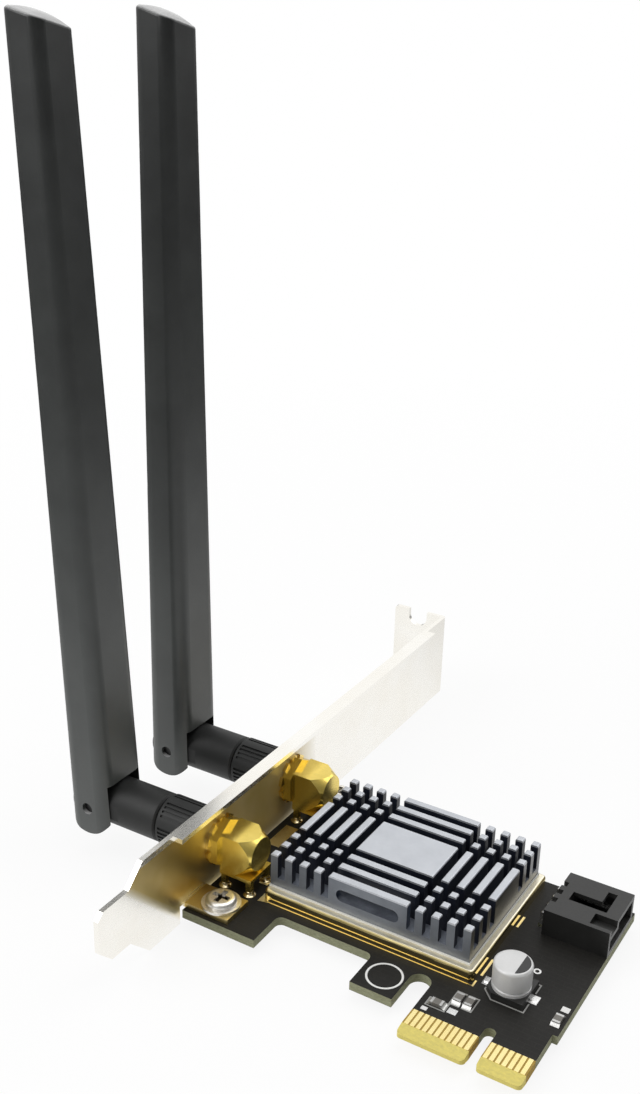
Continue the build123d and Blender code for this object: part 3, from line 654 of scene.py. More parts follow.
class Finishes:
    """Every finish on the card, made once and handed out by name."""

    def __init__(self, heatsink: Span, screws: Span, paddle: Span) -> None:
        """Makes the finishes.

        Args:
            heatsink: Lowest and highest corner of the heatsink, which its finish follows.
            screws: Lowest and highest corner of the two screws, which their finish follows.
            paddle: Lowest and highest corner of an aerial's paddle, which its finish follows.
        """
        head = screws[1].x - screws[0].x
        screw_middle = ((screws[0].x + screws[1].x) / 2, (screws[0].y + screws[1].y) / 2, screws[1].z)
        self.board = LaminateFinish(
            "board_laminate",
            mask=(0.014, 0.0133, 0.012),
            track=(0.026, 0.025, 0.022),
            fibre=(0.34, 0.35, 0.23),
            fibre_dark=(0.20, 0.20, 0.12),
            bare=(0.42, 0.27, 0.045),
            bevel=(0.80, 0.68, 0.19),
            thickness=1.6 * MM,
            contact_left=-12.2 * MM,
            contact_line=5.6 * MM,
            bevel_run=2.1 * MM,
        ).material()
        self.contact = MetalFinish(
            "contact_gilt", (0.97, 0.84, 0.42), (0.90, 0.72, 0.28), 0.22, 0.3, (1.0, 0.08, 1.0), depth=5e-7
        ).material()
        self.gilt = MetalFinish(
            "socket_gilt", (0.90, 0.70, 0.18), (0.74, 0.55, 0.11), 0.2, 0.25, (0.3, 1.0, 1.0), 1800.0,
            depth=4e-7, metal=0.9,
        ).material()
        self.guard = MetalFinish("guard_gilt", (0.62, 0.50, 0.24), (0.40, 0.30, 0.11), 0.25, 0.4).material()
        self.guard_end = MetalFinish(
            "guard_end_gilt", (0.96, 0.86, 0.52), (0.80, 0.62, 0.28), 0.25, 0.4
        ).material()
        self.bracket = BracketFinish(
            "bracket_nickel",
            bright=(0.98, 0.965, 0.92),
            tarnish=(0.90, 0.86, 0.77),
            # Painted reflection of the sockets and the board on the bracket's inner face.
            painted_reflection=(0.60, 0.46, 0.17),
            painted_reflection_pale=(0.70, 0.56, 0.26),
            start=4.2 * MM,
            end=44.0 * MM,
            lip=14.0 * MM,
            reflection_matt_start=12.0 * MM,
            reflection_matt_full=24.0 * MM,
            ear_start=-56.0 * MM,
        ).material()
        self.screw = ScrewFinish(
            "screw_nickel",
            bright=(0.88, 0.86, 0.82),
            tarnish=(0.66, 0.63, 0.57),
            # Painted shade in the screws' cross recesses.
            recess_shade=(0.05, 0.042, 0.03),
            middle=screw_middle,
            apart=screws[1].y - screws[0].y - head,
        ).material()
        self.washer = MetalFinish(
            "washer_gilt", (0.95, 0.76, 0.32), (0.70, 0.48, 0.14), 0.14, 0.28
        ).material()
        self.can = ShieldFinish(
            "can_tin",
            top=(0.90, 0.85, 0.70),
            # rim is painted shade on the rolled edge, side is painted reflection of the board.
            rim=(0.17, 0.135, 0.055),
            side=(0.62, 0.50, 0.22),
            tarnish=(0.52, 0.44, 0.22),
        ).material()
        self.tin = MetalFinish(
            "solder_tin", (0.84, 0.84, 0.83), (0.62, 0.61, 0.59), 0.16, 0.34, grain=1200.0, depth=1e-5
        ).material()
        self.dull_tin = MetalFinish(
            "chip_tin", (0.60, 0.60, 0.585), (0.42, 0.415, 0.40), 0.32, 0.5, grain=1200.0, depth=1e-5
        ).material()
        self.warm_solder = MetalFinish(
            "warm_solder", (0.90, 0.78, 0.50), (0.66, 0.52, 0.26), 0.16, 0.3, grain=1200.0
        ).material()
        # Painted shade: the hinge pin is near black to stand for the shade in the hinge hole.
        self.pin_shade = MetalFinish(
            "hinge_steel", (0.06, 0.06, 0.06), (0.035, 0.035, 0.035), 0.35, 0.5
        ).material()
        self.heatsink = ShadedHeatsinkFinish(
            "heatsink_aluminium",
            cut=(0.56, 0.58, 0.615),
            cut_dull=(0.50, 0.52, 0.555),
            # side, end, floor, pocket and the groove colours are painted shade on bare aluminium.
            side=(0.17, 0.185, 0.21),
            end=(0.14, 0.14, 0.145),
            floor=(0.20, 0.22, 0.26),
            pocket=(0.040, 0.055, 0.085),
            groove_shade=(0.006, 0.008, 0.016),
            groove_shade_pale=(0.012, 0.016, 0.028),
            low=tuple(heatsink[0]),
            high=tuple(heatsink[1]),
        ).material()
        self.capacitor = MetalFinish(
            "capacitor_aluminium", (0.70, 0.70, 0.695), (0.60, 0.60, 0.595), 0.34, 0.46, metal=0.2
        ).material()
        self.black = MouldedFinish(
            "black_moulding", (0.012, 0.012, 0.011), (0.020, 0.020, 0.019), 0.34, 0.5
        ).material()
        self.aerial = PaddleFinish(
            "aerial_black",
            colour=(0.010, 0.0108, 0.0106),
            # Pale colour of the painted floor light at the aerial's foot, also used for random mottle.
            pale_bounce_and_mottle=(0.066, 0.072, 0.069),
            # Painted highlight on the aerial's upward-facing top.
            top=(0.48, 0.48, 0.48),
            foot_height=paddle[0].z,
            top_height=paddle[1].z,
        ).material()
        self.joint = MouldedFinish(
            "joint_black", (0.012, 0.0125, 0.012), (0.018, 0.0185, 0.018), 0.46, 0.58, 3000.0, 6e-6, 0.35
        ).material()
        self.print = MouldedFinish(
            "white_print", (0.84, 0.84, 0.82), (0.72, 0.72, 0.70), 0.5, 0.65, 5000.0, 3e-6
        ).material()
        self.fine_print = MouldedFinish(
            "fine_print", (0.36, 0.36, 0.345), (0.28, 0.28, 0.265), 0.5, 0.65, 5000.0, 3e-6
        ).material()
        self.dark_print = MouldedFinish(
            "dark_print", (0.012, 0.012, 0.013), (0.03, 0.03, 0.03), 0.4, 0.55, 5000.0, 3e-6
        ).material()
        self.tape = MouldedFinish("tape_white", (0.86, 0.86, 0.83), (0.76, 0.76, 0.73), 0.6, 0.8).material()
        self.pad = MouldedFinish("gap_pad", (0.30, 0.36, 0.44), (0.24, 0.28, 0.36), 0.6, 0.8).material()
        self.ceramic = MouldedFinish(
            "chip_ceramic", (0.13, 0.122, 0.11), (0.20, 0.19, 0.17), 0.4, 0.6, 4200.0
        ).material()
        self.chip = MouldedFinish(
            "chip_moulding", (0.020, 0.020, 0.021), (0.035, 0.035, 0.036), 0.45, 0.6
        ).material()
        self.insulator = MouldedFinish(
            "insulator_white", (0.86, 0.86, 0.84), (0.76, 0.76, 0.73), 0.45, 0.6
        ).material()
        self.fibre = MouldedFinish(
            "radiator_laminate", (0.20, 0.26, 0.10), (0.30, 0.32, 0.14), 0.4, 0.6
        ).material()


def bridge(shape: Shape, first: Sequence[bmesh.types.BMVert], second: Sequence[bmesh.types.BMVert]) -> None:
    """Joins two closed rows of corners by faces.

    Args:
        shape: The mesh.
        first: One row.
        second: The other, with as many corners.
    """
    for i in range(len(first)):
        j = (i + 1) % len(first)
        shape.faces.new((first[i], first[j], second[j], second[i]))


def prism(shape: Shape, outline: Sequence[Spot], low: float, high: float) -> None:
    """Adds an upright prism to a mesh.

    Args:
        shape: The mesh.
        outline: The prism's corners, in millimetres.
        low: Its lower face, in millimetres.
        high: Its upper face, in millimetres.
    """
    rings = [[shape.verts.new((x * MM, y * MM, z * MM)) for x, y in outline] for z in (low, high)]
    for ring in rings:
        shape.faces.new(ring)
    bridge(shape, *rings)


class Ribbon:
    """Flat printed or plated line of one width and thickness, mitred at its corners."""

    def __init__(self, width: float, thickness: float) -> None:
        """Keeps the line's section.

        Args:
            width: Its width, in millimetres.
            thickness: Its thickness, in millimetres.
        """
        self.width = width
        self.thickness = thickness

    def draw(self, shape: Shape, points: Sequence[Spot], closed: bool = False) -> None:
        """Adds one line to a mesh.

        Args:
            shape: The mesh.
            points: The line's middle, in millimetres.
            closed: Whether it ends where it starts.
        """
        rows = []
        count = len(points)
        for i, point in enumerate(points):
            here = Vector(point)
            before = Vector(points[i - 1]) if closed or i else None
            after = Vector(points[(i + 1) % count]) if closed or i < count - 1 else None
            ahead = [
                (b - a).normalized()
                for a, b in ((before, here), (here, after)) if a is not None and b is not None
            ]
            sides = [Vector((-d.y, d.x)) for d in ahead]
            mitre = sum(sides, Vector((0.0, 0.0)))
            mitre = mitre / max(mitre.length_squared, 1e-9) * (2.0 if len(sides) > 1 else 1.0)
            reach = mitre * self.width / 2
            corners = [(here + reach, 0.0), (here - reach, 0.0), (here - reach, 1.0), (here + reach, 1.0)]
            rows.append(
                [shape.verts.new((p.x * MM, p.y * MM, k * self.thickness * MM)) for p, k in corners]
            )
        for i in range(count if closed else count - 1):
            bridge(shape, rows[i], rows[(i + 1) % count])
        if not closed:
            shape.faces.new(rows[0])
            shape.faces.new(rows[-1])


def finish_mesh(name: str, shape: Shape, material: Material, smooth: bool = False) -> Piece:
    """Turns a finished mesh into an object of the scene.

    Args:
        name: The piece's name.
        shape: Its mesh, which is freed.
        material: Its finish.
        smooth: Whether its faces are shaded smooth.

    Returns:
        The object, at the origin.
    """
    bmesh.ops.recalc_face_normals(shape, faces=shape.faces)
    mesh = bpy.data.meshes.new(name)
    shape.to_mesh(mesh)
    shape.free()
    mesh.materials.append(material)
    if smooth:
        mesh.shade_smooth()
        mesh.set_sharp_from_angle(angle=SHARP_ANGLE)
    piece = bpy.data.objects.new(name, mesh)
    bpy.context.scene.collection.objects.link(piece)
    return piece


def settle(piece: Piece, body: str = Body.CARD.value) -> Piece:
    """Puts a finished piece on its body, and reports it.

    Args:
        piece: The piece.
        body: The body it moves with.

    Returns:
        The same piece.
    """
    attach(piece, body)
    log.info("%s: %d faces", piece.name, len(piece.data.polygons))
    return piece


def plain_mesh(piece: Piece) -> Piece:
    """Replaces an object's modifiers by the mesh that they make.

    Args:
        piece: An object with modifiers.

    Returns:
        The same object, with a plain mesh.
    """
    ready = piece.evaluated_get(bpy.context.evaluated_depsgraph_get())
    mesh = bpy.data.meshes.new_from_object(ready)
    piece.modifiers.clear()
    piece.data = mesh
    mesh.name = piece.name
    return piece


class SpotTree:
    """Geometry Nodes tree that stands a flared skirt on every point, as solder makes round a lead."""

    def __init__(self, name: str) -> None:
        """Builds the tree.

        Args:
            name: The tree's name.
        """
        self.tree = bpy.data.node_groups.new(name, "GeometryNodeTree")
        sides = self.tree.interface
        sides.new_socket("Points", in_out="INPUT", socket_type="NodeSocketGeometry")
        self.sockets = {
            label: sides.new_socket(label, in_out="INPUT", socket_type=kind).identifier
            for label, kind in (
                ("Foot", "NodeSocketFloat"), ("Neck", "NodeSocketFloat"), ("Height", "NodeSocketFloat"),
                ("Flare", "NodeSocketFloat"), ("Finish", "NodeSocketMaterial"),
            )
        }
        sides.new_socket("Joints", in_out="OUTPUT", socket_type="NodeSocketGeometry")
        graph = Graph(self.tree)
        given = graph.add("NodeGroupInput").outputs
        cone = graph.add(
            "GeometryNodeMeshCone",
            {
                "Vertices": 20, "Side Segments": 6, "Radius Top": given["Neck"],
                "Radius Bottom": given["Foot"], "Depth": given["Height"],
            },
        )
        place = graph.add("GeometryNodeInputPosition").outputs[0]
        rise = graph.math("DIVIDE", graph.math("ABSOLUTE", graph.axes(place)[2]), given["Height"])
        belly = graph.math("MULTIPLY", rise, graph.math("SUBTRACT", 1.0, rise))
        pull = graph.math("SUBTRACT", 1.0, graph.math("MULTIPLY", belly, given["Flare"]))
        flat = graph.add("ShaderNodeCombineXYZ", {0: pull, 1: pull, 2: 1.0}).outputs[0]
        moved = graph.add("ShaderNodeVectorMath", {0: place, 1: flat}, operation="MULTIPLY").outputs[0]
        flared = graph.add("GeometryNodeSetPosition", {"Geometry": cone.outputs["Mesh"], "Position": moved})
        smooth = graph.add("GeometryNodeSetShadeSmooth", {0: flared.outputs[0]})
        spread = graph.add(
            "GeometryNodeInstanceOnPoints", {"Points": given["Points"], "Instance": smooth.outputs[0]}
        )
        real = graph.add("GeometryNodeRealizeInstances", {0: spread.outputs[0]})
        dressed = graph.add(
            "GeometryNodeSetMaterial", {"Geometry": real.outputs[0], "Material": given["Finish"]}
        )
        graph.add("NodeGroupOutput", {0: dressed.outputs[0]})

    def stand(
        self, name: str, points: Sequence[Vector], sizes: Mapping[str, float], finish: Material
    ) -> Piece:
        """Stands the shape on points.

        Args:
            name: The piece's name.
            points: Where, in metres.
            sizes: The tree's sizes by name, in metres, and its flare.
            finish: The shape's material.

        Returns:
            The finished piece.
        """
        mesh = bpy.data.meshes.new(name)
        mesh.from_pydata([tuple(p) for p in points], [], [])
        piece = bpy.data.objects.new(name, mesh)
        bpy.context.scene.collection.objects.link(piece)
        modifier = piece.modifiers.new("spots", "NODES")
        modifier.node_group = self.tree
        for label, size in sizes.items():
            modifier[self.sockets[label]] = size
        modifier[self.sockets["Finish"]] = finish
        return plain_mesh(piece)


def solids_of(piece: Piece) -> list[Span]:
    """Finds the separate solids of a piece.

    Args:
        piece: The piece.

    Returns:
        Lowest and highest corner of each solid, in millimetres.
    """
    shape = bmesh.new()
    shape.from_mesh(piece.data)
    bmesh.ops.remove_doubles(shape, verts=shape.verts, dist=WELD_DISTANCE)
    spans = []
    waiting = set(shape.verts)
    while waiting:
        reached = [waiting.pop()]
        for vert in reached:
            linked = {edge.other_vert(vert) for edge in vert.link_edges} & waiting
            waiting -= linked
            reached.extend(linked)
        rows = list(zip(*(vert.co / MM for vert in reached)))
        spans.append((Vector([min(row) for row in rows]), Vector([max(row) for row in rows])))
    shape.free()
    return sorted(spans, key=lambda span: tuple(span[0]))


@dataclass
class Dressing:
    """Group of the card's solids that is finished together."""

    finishes: Finishes
    nodes: Mapping[str, Piece]

    def dress(self, material: Material, *names: str) -> None:
        """Gives solids of the model their finish.

        Args:
            material: The finish.
            *names: Which solids.
        """
        for name in names:
            mesh = self.nodes[name].data
            mesh.materials.clear()
            mesh.materials.append(material)
            log.info("%s: %s", name, material.name)


@dataclass
class BoardDressing(Dressing):
    """Circuit board: its stepped rear edge, contacts, printed outlines, guard lines and bare pads."""

    film: float = 0.02
    ring_centre: Spot = (-19.3, 9.7)
    ring_radius: float = 2.9
    ring_width: float = 0.36
    line_width: float = 0.22
    outline_margin: float = 0.3
    outline_chamfer: float = 1.75
    outline_gap: float = 0.35
    chip_margins: Spot = (0.3, 0.62)
    pad_width: float = 2.0
    pad_run: float = 1.35
    pad_overlap: float = 0.2
    guard_width: float = 0.2
    guard_row: Triple = (-45.4, -6.75, 15.2)
    guard_ends: tuple[Strip, ...] = (
        (-6.6, 15.1, 16.6, 0.32), (-6.4, 18.1, 22.6, 0.42), (-6.45, 32.3, 35.4, 0.4),
    )
    corner_pad: tuple[Spot, Spot, Spot] = ((-46.7, 14.6), (-44.7, 15.1), (-46.7, 17.1))
    loose_pads: tuple[Strip, ...] = (
        (-6.7, 8.25, 1.5, 1.2), (-10.7, 6.6, 1.0, 0.8), (7.85, 18.0, 1.3, 1.2),
    )
    ground_pads: tuple[Strip, ...] = ((-53.3, 29.4, 36.2, 2.6), (-48.4, 18.9, 21.5, 1.7))
    test_ring: Spot = (0.7, 23.9)
    test_ring_radius: float = 0.5
    test_ring_width: float = 0.3
    test_ring_steps: int = 32
    rear_margin: float = 0.6
    rear_tab_right: float = -43.0
    rear_corner: float = 1.2
    rear_steps: int = 8

    def build(self) -> None:
        """Builds and dresses everything on the board's faces."""
        self.dress(self.finishes.board, "circuit_board")
        self.build_rear_edge()
        self.dress(self.finishes.contact, "edge_contacts")
        self.dress(self.finishes.ceramic, "chip_bodies")
        self.dress(self.finishes.tin, "capacitor_leads", "header_pins")
        self.dress(self.finishes.dull_tin, "chip_end_caps")
        self.dress(self.finishes.black, "header_housing", "capacitor_foot")
        self.build_ring()
        self.build_outlines()
        self.build_guard()
        self.build_pads()

    def build_rear_edge(self) -> None:
        """Makes the board as it is seen: stepped back behind the shield, with a tab at the rear screw."""
        node = self.nodes["circuit_board"]
        low, high = (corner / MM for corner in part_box("circuit_board"))
        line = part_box("shield_can")[1].y / MM + self.rear_margin
        past = self.rear_corner * 2
        arc = [math.pi + math.pi / 2 * i / self.rear_steps for i in range(self.rear_steps + 1)]
        middle = (self.rear_tab_right + self.rear_corner, line + self.rear_corner)
        outline = [
            (middle[0] + self.rear_corner * math.cos(a), middle[1] + self.rear_corner * math.sin(a))
            for a in arc
        ]
        outline += [
            (high.x + past, line), (high.x + past, high.y + past), (self.rear_tab_right, high.y + past)
        ]
        shape = bmesh.new()
        prism(shape, outline, low.z - past, high.z + past)
        cutter = finish_mesh("rear_cutter", shape, self.finishes.board)
        board = bpy.data.objects.new("stepped_board", node.data.copy())
        bpy.context.scene.collection.objects.link(board)
        cut = board.modifiers.new("rear_cut", "BOOLEAN")
        cut.operation, cut.solver, cut.object = "DIFFERENCE", "EXACT", cutter
        plain_mesh(board)
        bpy.data.objects.remove(cutter)
        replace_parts(settle(board), "circuit_board")

    def circle(self, centre: Spot, radius: float, steps: int = 64) -> list[Spot]:
        """Draws a circle.

        Args:
            centre: Its centre.
            radius: Its radius.
            steps: Its corners.

        Returns:
            The corners, in order.
        """
        turns = [2 * math.pi * i / steps for i in range(steps)]
        return [(centre[0] + radius * math.cos(a), centre[1] + radius * math.sin(a)) for a in turns]

    def build_ring(self) -> None:
        """Prints a plain ring on the plain tab."""
        shape = bmesh.new()
        Ribbon(self.ring_width, self.film).draw(
            shape, self.circle(self.ring_centre, self.ring_radius), closed=True
        )
        settle(finish_mesh("ring_print", shape, self.finishes.print))

    def build_outlines(self) -> None:
        """Prints thin outlines round the capacitor and the chip parts."""
        shape = bmesh.new()
        line = Ribbon(self.line_width, self.film)
        low, high = (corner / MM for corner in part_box("capacitor_foot"))
        margin, cut, gap = self.outline_margin, self.outline_chamfer, self.pad_width / 2 + self.outline_gap
        middle = (low.y + high.y) / 2
        for side, y in ((-1, low.y - margin), (1, high.y + margin)):
            line.draw(shape, [
                (low.x - margin, middle + side * gap), (low.x - margin, y - side * cut), (
                    low.x - margin + cut, y
                ),
                (high.x + margin, y), (high.x + margin, middle + side * gap),
            ])
        for low, high in self.chip_spans():
            turned = high.y - low.y > high.x - low.x
            side, end = self.chip_margins if turned else self.chip_margins[::-1]
            line.draw(shape, [
                (low.x - side, low.y - end), (high.x + side, low.y - end), (high.x + side, high.y + end), (
                    low.x - side, high.y + end
                ),
            ], closed=True)
        settle(finish_mesh("outline_print", shape, self.finishes.fine_print))

    def chip_spans(self) -> list[Span]:
        """Returns the spans of the framed chip parts with their end caps, in millimetres."""
        caps = solids_of(self.nodes["chip_end_caps"])
        spans = []
        for low, high in solids_of(self.nodes["chip_bodies"]):
            near = [
                cap for cap in caps if ((cap[0] + cap[1]) - (low + high)).length < 2 * (high - low).length
            ]
            spans.append((
                Vector([min(cap[0][i] for cap in near) for i in range(3)]), Vector(
                    [max(cap[1][i] for cap in near) for i in range(3)]
                ),
            ))
        return [span for span in spans if span[1].x < 0.0]

    def build_guard(self) -> None:
        """Lays the plated guard lines round the shield, the ground pads and a corner pad."""
        shape = bmesh.new()
        left, right, y = self.guard_row
        Ribbon(self.guard_width, self.film).draw(shape, [(left, y), (right, y)])
        settle(finish_mesh("guard_lines", shape, self.finishes.guard))
        shape = bmesh.new()
        for x, start, stop, width in (*self.guard_ends, *self.ground_pads):
            Ribbon(width, self.film).draw(shape, [(x, start), (x, stop)])
        prism(shape, self.corner_pad, 0.0, self.film)
        settle(finish_mesh("guard_ends", shape, self.finishes.guard_end))

    def build_pads(self) -> None:
        """Lays the tinned pads of the capacitor's leads, the loose pads and a test ring."""
        shape = bmesh.new()
        low, high = (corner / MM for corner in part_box("capacitor_foot"))
        middle = (low.y + high.y) / 2
        wide = Ribbon(self.pad_width, self.film)
        wide.draw(shape, [(high.x - self.pad_overlap, middle), (high.x + self.pad_run, middle)])
        wide.draw(shape, [(low.x - self.pad_run, middle), (low.x + self.pad_overlap, middle)])
        for x, y, run, width in self.loose_pads:
            Ribbon(width, 2 * self.film).draw(shape, [(x - run / 2, y), (x + run / 2, y)])
        ring = self.circle(self.test_ring, self.test_ring_radius, self.test_ring_steps)
        Ribbon(self.test_ring_width, self.film).draw(shape, ring, closed=True)
        settle(finish_mesh("bare_pads", shape, self.finishes.tin))


@dataclass
class SolderWork(Dressing):
    """Solder at every lead that passes through the board, and at the ends of the chip parts."""

    leg_spacing: float = 5.08
    block_half: float = 3.2
    pin_half: float = 0.32
    under: float = -1.6
    fillet: tuple[Spot, ...] = ((-0.05, 0.44), (0.1, 0.26), (0.26, 0.12), (0.5, 0.03))
    fillet_side: float = 0.1

    def build(self) -> None:
        """Builds the joints on both faces."""
        tree = SpotTree("solder_joint")
        half = self.leg_spacing / 2
        blocks = []
        for side in Side:
            low, high = (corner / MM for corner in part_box(f"{side.value}_jack_body"))
            blocks.append((high.x - self.block_half, (low.y + high.y) / 2))
        legs = [(x + i * half, y + j * half) for x, y in blocks for i in (-1, 1) for j in (-1, 1)]
        pins = [
            (low.x + self.pin_half, low.y + self.pin_half)
            for low, high in solids_of(self.nodes["header_pins"])
        ]
        top = [Vector((x, y, 0.0)) * MM for x, y in legs]
        settle(tree.stand("leg_solder", top, LEG_JOINT, self.finishes.warm_solder))
        below = [Vector((x, y, self.under)) * MM for x, y in legs + blocks + pins]
        piece = tree.stand("lead_solder", below, LEAD_JOINT, self.finishes.tin)
        piece.data.flip_normals()
        settle(piece)
        self.build_fillets()

    def build_fillets(self) -> None:
        """Runs a hollow wedge of solder from each end cap to its pad."""
        shape = bmesh.new()
        bodies = [(low + high) / 2 for low, high in solids_of(self.nodes["chip_bodies"])]
        for low, high in solids_of(self.nodes["chip_end_caps"]):
            middle = (low + high) / 2
            body = min(bodies, key=lambda spot: (spot - middle).length)
            out = (middle - body).normalized()
            out = Vector((round(out.x), round(out.y), 0.0))
            size = high - low
            face = Vector((middle.x, middle.y, 0.0)) + out * abs(size.dot(out)) / 2
            across = Vector((-out.y, out.x, 0.0))
            reach = abs(size.dot(across)) / 2 + self.fillet_side
            profile = [*self.fillet, (self.fillet[-1][0], 0.0), (self.fillet[0][0], 0.0)]
            rows = [
                [
                    shape.verts.new((face + out * run + across * k * reach + Vector((0.0, 0.0, rise))) * MM)
                    for run, rise in profile
                ]
                for k in (-1, 1)
            ]
            for row in rows:
                shape.faces.new(row)
            bridge(shape, *rows)
        settle(finish_mesh("chip_solder", shape, self.finishes.dull_tin))


@dataclass
class RadioDressing(Dressing):
    """Shield can, heatsink and what is under them."""

    def build(self) -> None:
        """Dresses the radio's solids."""
        self.dress(self.finishes.can, "shield_can", "reference_crystal")
        self.dress(self.finishes.heatsink, "heatsink")
        self.dress(self.finishes.tape, "thermal_tape")
        self.dress(self.finishes.pad, "chip_gap_pad")
        self.dress(self.finishes.chip, "radio_chip", "amplifier_modules")


@dataclass
class CapacitorDressing(Dressing):
    """Capacitor can with its printed polarity mark."""

    rim: float = 0.42
    chord: float = 0.44
    film: float = 0.012
    steps: int = 28

    def build(self) -> None:
        """Dresses the can and prints a dark half-moon on its top."""
        self.dress(self.finishes.capacitor, "capacitor_can")
        low, high = (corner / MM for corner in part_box("capacitor_can"))
        x, y = (low.x + high.x) / 2, (low.y + high.y) / 2
        radius = (high.x - low.x) / 2 - self.rim
        reach = math.acos(self.chord)
        turns = [-reach + 2 * reach * i / self.steps for i in range(self.steps + 1)]
        edge = [(x + radius * math.cos(a), y + radius * math.sin(a)) for a in turns]
        shape = bmesh.new()
        prism(shape, edge, high.z, high.z + self.film)
        settle(finish_mesh("polarity_mark", shape, self.finishes.dark_print))


@dataclass
class BracketDressing(Dressing):
    """Mounting bracket, its screws, and the washers and nuts of the sockets."""

    def build(self) -> None:
        """Dresses the bracket's solids."""
        self.dress(self.finishes.bracket, "mounting_bracket")
        self.dress(self.finishes.screw, "bracket_screws")
        self.dress(self.finishes.washer, "lock_washers", "socket_nuts")


@dataclass
class AerialDressing(Dressing):
    """One socket and the aerial on it."""

    side: Side
    crown_rise: float = 0.75 * MM
    crown_rings: int = 8
    top_facing: float = 0.9
    top_share: float = 0.9
    top_flatness: float = 0.9999

    def build(self) -> None:
        """Dresses the socket's and the aerial's solids, and crowns the aerial."""
        name = self.side.value
        self.dress(
            self.finishes.gilt, f"{name}_jack_body", f"{name}_jack_pin", f"{name}_coupling_nut",
            f"{name}_plug_body",
        )
        self.dress(self.finishes.insulator, f"{name}_jack_insulator")
        self.dress(self.finishes.aerial, f"{name}_paddle")
        self.dress(self.finishes.joint, f"{name}_coupling_grip", f"{name}_elbow")
        # The hinge pin's near-black colour is painted shade of the hinge hole.
        self.dress(self.finishes.pin_shade, f"{name}_hinge_pin")
        self.dress(self.finishes.fibre, f"{name}_radiator")
        self.build_crown()

    def top_outline(self) -> tuple[list[Vector], Vector]:
        """Finds the paddle's flat cut top.

        Returns:
            Its corners in order, and its normal.
        """
        shape = bmesh.new()
        shape.from_mesh(self.nodes[f"{self.side.value}_paddle"].data)
        bmesh.ops.remove_doubles(shape, verts=shape.verts, dist=WELD_DISTANCE)
        shape.normal_update()
        highest = max(vert.co.z for vert in shape.verts)
        flats = [
            face
            for face in shape.faces
            if face.normal.z > self.top_facing and face.calc_center_median().z > self.top_share * highest
        ]
        top = max(flats, key=lambda face: face.calc_area()).normal.copy()
        flats = [face for face in flats if face.normal.dot(top) > self.top_flatness]
        kept = set(flats)
        rim = [
            edge
            for face in flats for edge in face.edges if sum(other in kept for other in edge.link_faces) == 1
        ]
        after = {}
        for edge in rim:
            face = next(other for other in edge.link_faces if other in kept)
            corners = list(face.verts)
            for vert, follower in zip(corners, corners[1:] + corners[:1]):
                if {vert, follower} == set(edge.verts):
                    after[vert] = follower
        loop = [rim[0].verts[0]]
        while after[loop[-1]] is not loop[0]:
            loop.append(after[loop[-1]])
        outline = [vert.co.copy() for vert in loop]
        shape.free()
        return outline, top

    def build_crown(self) -> None:
        """Domes the paddle's flat cut top, inside its rounded rim."""
        outline, top = self.top_outline()
        middle = sum(outline, Vector()) / len(outline)
        shape = bmesh.new()
        rows = []
        for i in range(self.crown_rings):
            share = 1.0 - i / self.crown_rings
            lift = top * self.crown_rise * (1.0 - share**2)
            rows.append([shape.verts.new(middle + (spot - middle) * share + lift) for spot in outline])
        for first, second in zip(rows, rows[1:]):
            bridge(shape, first, second)
        peak = shape.verts.new(middle + top * self.crown_rise)
        for i in range(len(outline)):
            shape.faces.new((rows[-1][i], rows[-1][(i + 1) % len(outline)], peak))
        shape.faces.new(rows[0])
        name = self.side.value
        crown = finish_mesh(f"{name}_paddle_crown", shape, self.finishes.aerial, smooth=True)
        settle(crown, f"{name}_paddle_body")


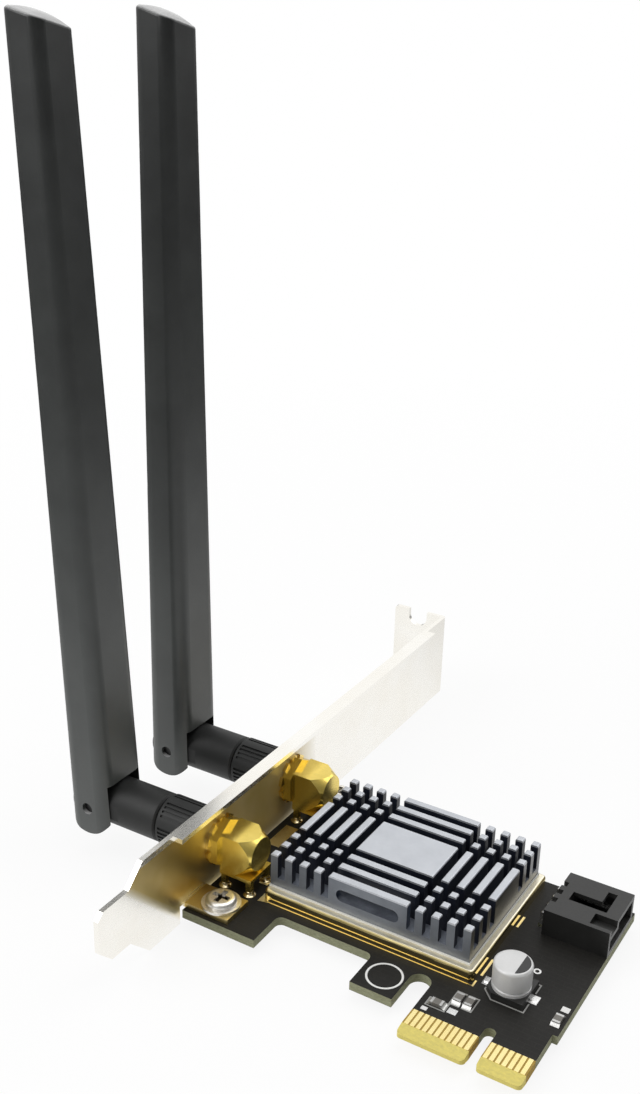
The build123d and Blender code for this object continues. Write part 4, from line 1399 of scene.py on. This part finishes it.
@dataclass
class Studio:
    """White sweep, soft lamps and the camera."""

    floor_height: float
    camera_place: Triple = (57.434, -142.828, 143.850)
    forward: Triple = (-0.4716, 0.7940, -0.3835)
    roll: float = math.radians(1.455)
    lens: float = 44.229
    sensor: float = 36.0
    floor_reach: float = 6.0
    room_bright_side: Triple = (-1.4, 0.3, 0.8)
    room_dim: float = 0.22
    room_matt: float = 0.55
    far_floor: float = 0.06
    floor_white: float = 0.88
    glow_fade: Spot = (0.11, 0.28)
    shadow_fade: Spot = (0.15, 0.4)
    clip: Spot = (0.01, 30.0)
    lamps: tuple[tuple[str, Triple, float, float], ...] = (
        ("key", (-0.55, -0.6, 0.7), 0.7, 4.5),
        ("top", (0.1, 0.25, 0.95), 0.9, 3.5),
        ("back", (0.35, 0.9, 0.5), 0.7, 1.5),
    )
    aim: Triple = (-0.03, 0.03, 0.04)

    def build(self) -> None:
        """Sets up floor, light and camera."""
        self.build_world()
        self.build_floor()
        self.build_lamps()
        self.build_camera()
        bpy.context.scene.view_settings.view_transform = "Standard"

    def build_world(self) -> None:
        """Makes a white room, bright above and behind the card and dim on the camera's side."""
        world = bpy.data.worlds.new("white_room")
        graph = fresh_graph(world)
        path = graph.add("ShaderNodeLightPath").outputs
        way = graph.axes(graph.add("ShaderNodeTexCoord").outputs["Generated"])
        parts = [
            graph.math("MULTIPLY", way[axis], share) for axis, share in enumerate(self.room_bright_side)
        ]
        side = graph.math("ADD", graph.math("ADD", parts[0], parts[1]), parts[2])
        shiny = graph.math("MAXIMUM", path["Is Glossy Ray"], path["Is Transmission Ray"])
        room = graph.math(
            "MULTIPLY", graph.ramp(side, -0.5, 0.5, self.room_dim, 1.0),
            graph.ramp(shiny, 0.0, 1.0, self.room_matt, 1.0),
        )
        strength = graph.math("MAXIMUM", path["Is Camera Ray"], room)
        glow = graph.add("ShaderNodeBackground", {"Color": (1.0, 1.0, 1.0), "Strength": strength})
        graph.add("ShaderNodeOutputWorld", {"Surface": glow.outputs[0]})
        bpy.context.scene.world = world

    def build_floor(self) -> None:
        """Lays a white floor that keeps the card's shadow and fades to the white background."""
        shape = bmesh.new()
        bmesh.ops.create_grid(shape, x_segments=2, y_segments=2, size=self.floor_reach)
        bmesh.ops.translate(shape, verts=shape.verts, vec=(0.0, 0.0, self.floor_height))
        material = bpy.data.materials.new("white_sweep")
        graph = fresh_graph(material)
        path = graph.add("ShaderNodeLightPath").outputs
        shiny = graph.math("MAXIMUM", path["Is Glossy Ray"], path["Is Transmission Ray"])
        away = graph.add("ShaderNodeVectorMath", {0: graph.place()}, operation="LENGTH").outputs["Value"]
        paper = graph.noise(graph.place(), 40.0)
        matt = graph.add(
            "ShaderNodeBsdfDiffuse", {"Color": graph.blend(paper, (0.93, 0.93, 0.93), (0.95, 0.95, 0.95))}
        )
        strength = graph.math(
            "MAXIMUM", path["Is Camera Ray"], graph.ramp(away, *self.glow_fade, 1.0, self.far_floor)
        )
        glow = graph.add("ShaderNodeEmission", {"Color": (1.0, 1.0, 1.0), "Strength": strength})
        seen = graph.math("MAXIMUM", path["Is Camera Ray"], shiny)
        share = graph.math("MULTIPLY", seen, graph.ramp(away, *self.shadow_fade, self.floor_white, 1.0))
        both = graph.add("ShaderNodeMixShader", {0: share, 1: matt.outputs[0], 2: glow.outputs[0]})
        graph.add("ShaderNodeOutputMaterial", {"Surface": both.outputs[0]})
        floor = finish_mesh("floor", shape, material)
        floor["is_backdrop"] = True

    def build_lamps(self) -> None:
        """Hangs the soft lamps, each turned to the card."""
        aim = Vector(self.aim)
        for name, place, size, power in self.lamps:
            lamp = bpy.data.lights.new(name, "AREA")
            lamp.shape = "SQUARE"
            lamp.size = size
            lamp.energy = power
            holder = bpy.data.objects.new(name, lamp)
            holder.location = place
            holder.rotation_euler = (aim - Vector(place)).to_track_quat("-Z", "Y").to_euler()
            bpy.context.scene.collection.objects.link(holder)

    def build_camera(self) -> None:
        """Stands the camera where the photograph was taken from."""
        forward = Vector(self.forward).normalized()
        level = forward.cross(Vector((0.0, 0.0, 1.0))).normalized()
        rise = level.cross(forward)
        right = level * math.cos(self.roll) + rise * math.sin(self.roll)
        up = rise * math.cos(self.roll) - level * math.sin(self.roll)
        turn = Matrix((right, up, -forward)).transposed().to_4x4()
        lens = bpy.data.cameras.new("camera")
        lens.lens = self.lens
        lens.sensor_width = self.sensor
        lens.sensor_fit = "AUTO"
        lens.clip_start, lens.clip_end = self.clip
        camera = bpy.data.objects.new("camera", lens)
        camera.matrix_world = Matrix.Translation(Vector(self.camera_place) * MM) @ turn
        bpy.context.scene.collection.objects.link(camera)
        bpy.context.scene.camera = camera


def main() -> None:
    """Loads the model, dresses it, and stands it in the studio."""
    logging.basicConfig(level=logging.INFO, format="%(name)s %(message)s")
    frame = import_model()
    cad_box = [list(corner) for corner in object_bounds()]
    nodes = frame["nodes"]
    finishes = Finishes(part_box("heatsink"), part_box("bracket_screws"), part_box("front_paddle"))
    for group in (BoardDressing, SolderWork, RadioDressing, CapacitorDressing, BracketDressing):
        group(finishes, nodes).build()
    for side in Side:
        AerialDressing(finishes, nodes, side).build()
    Studio(floor_height=cad_box[0][2]).build()


if __name__ == "__main__":
    main()
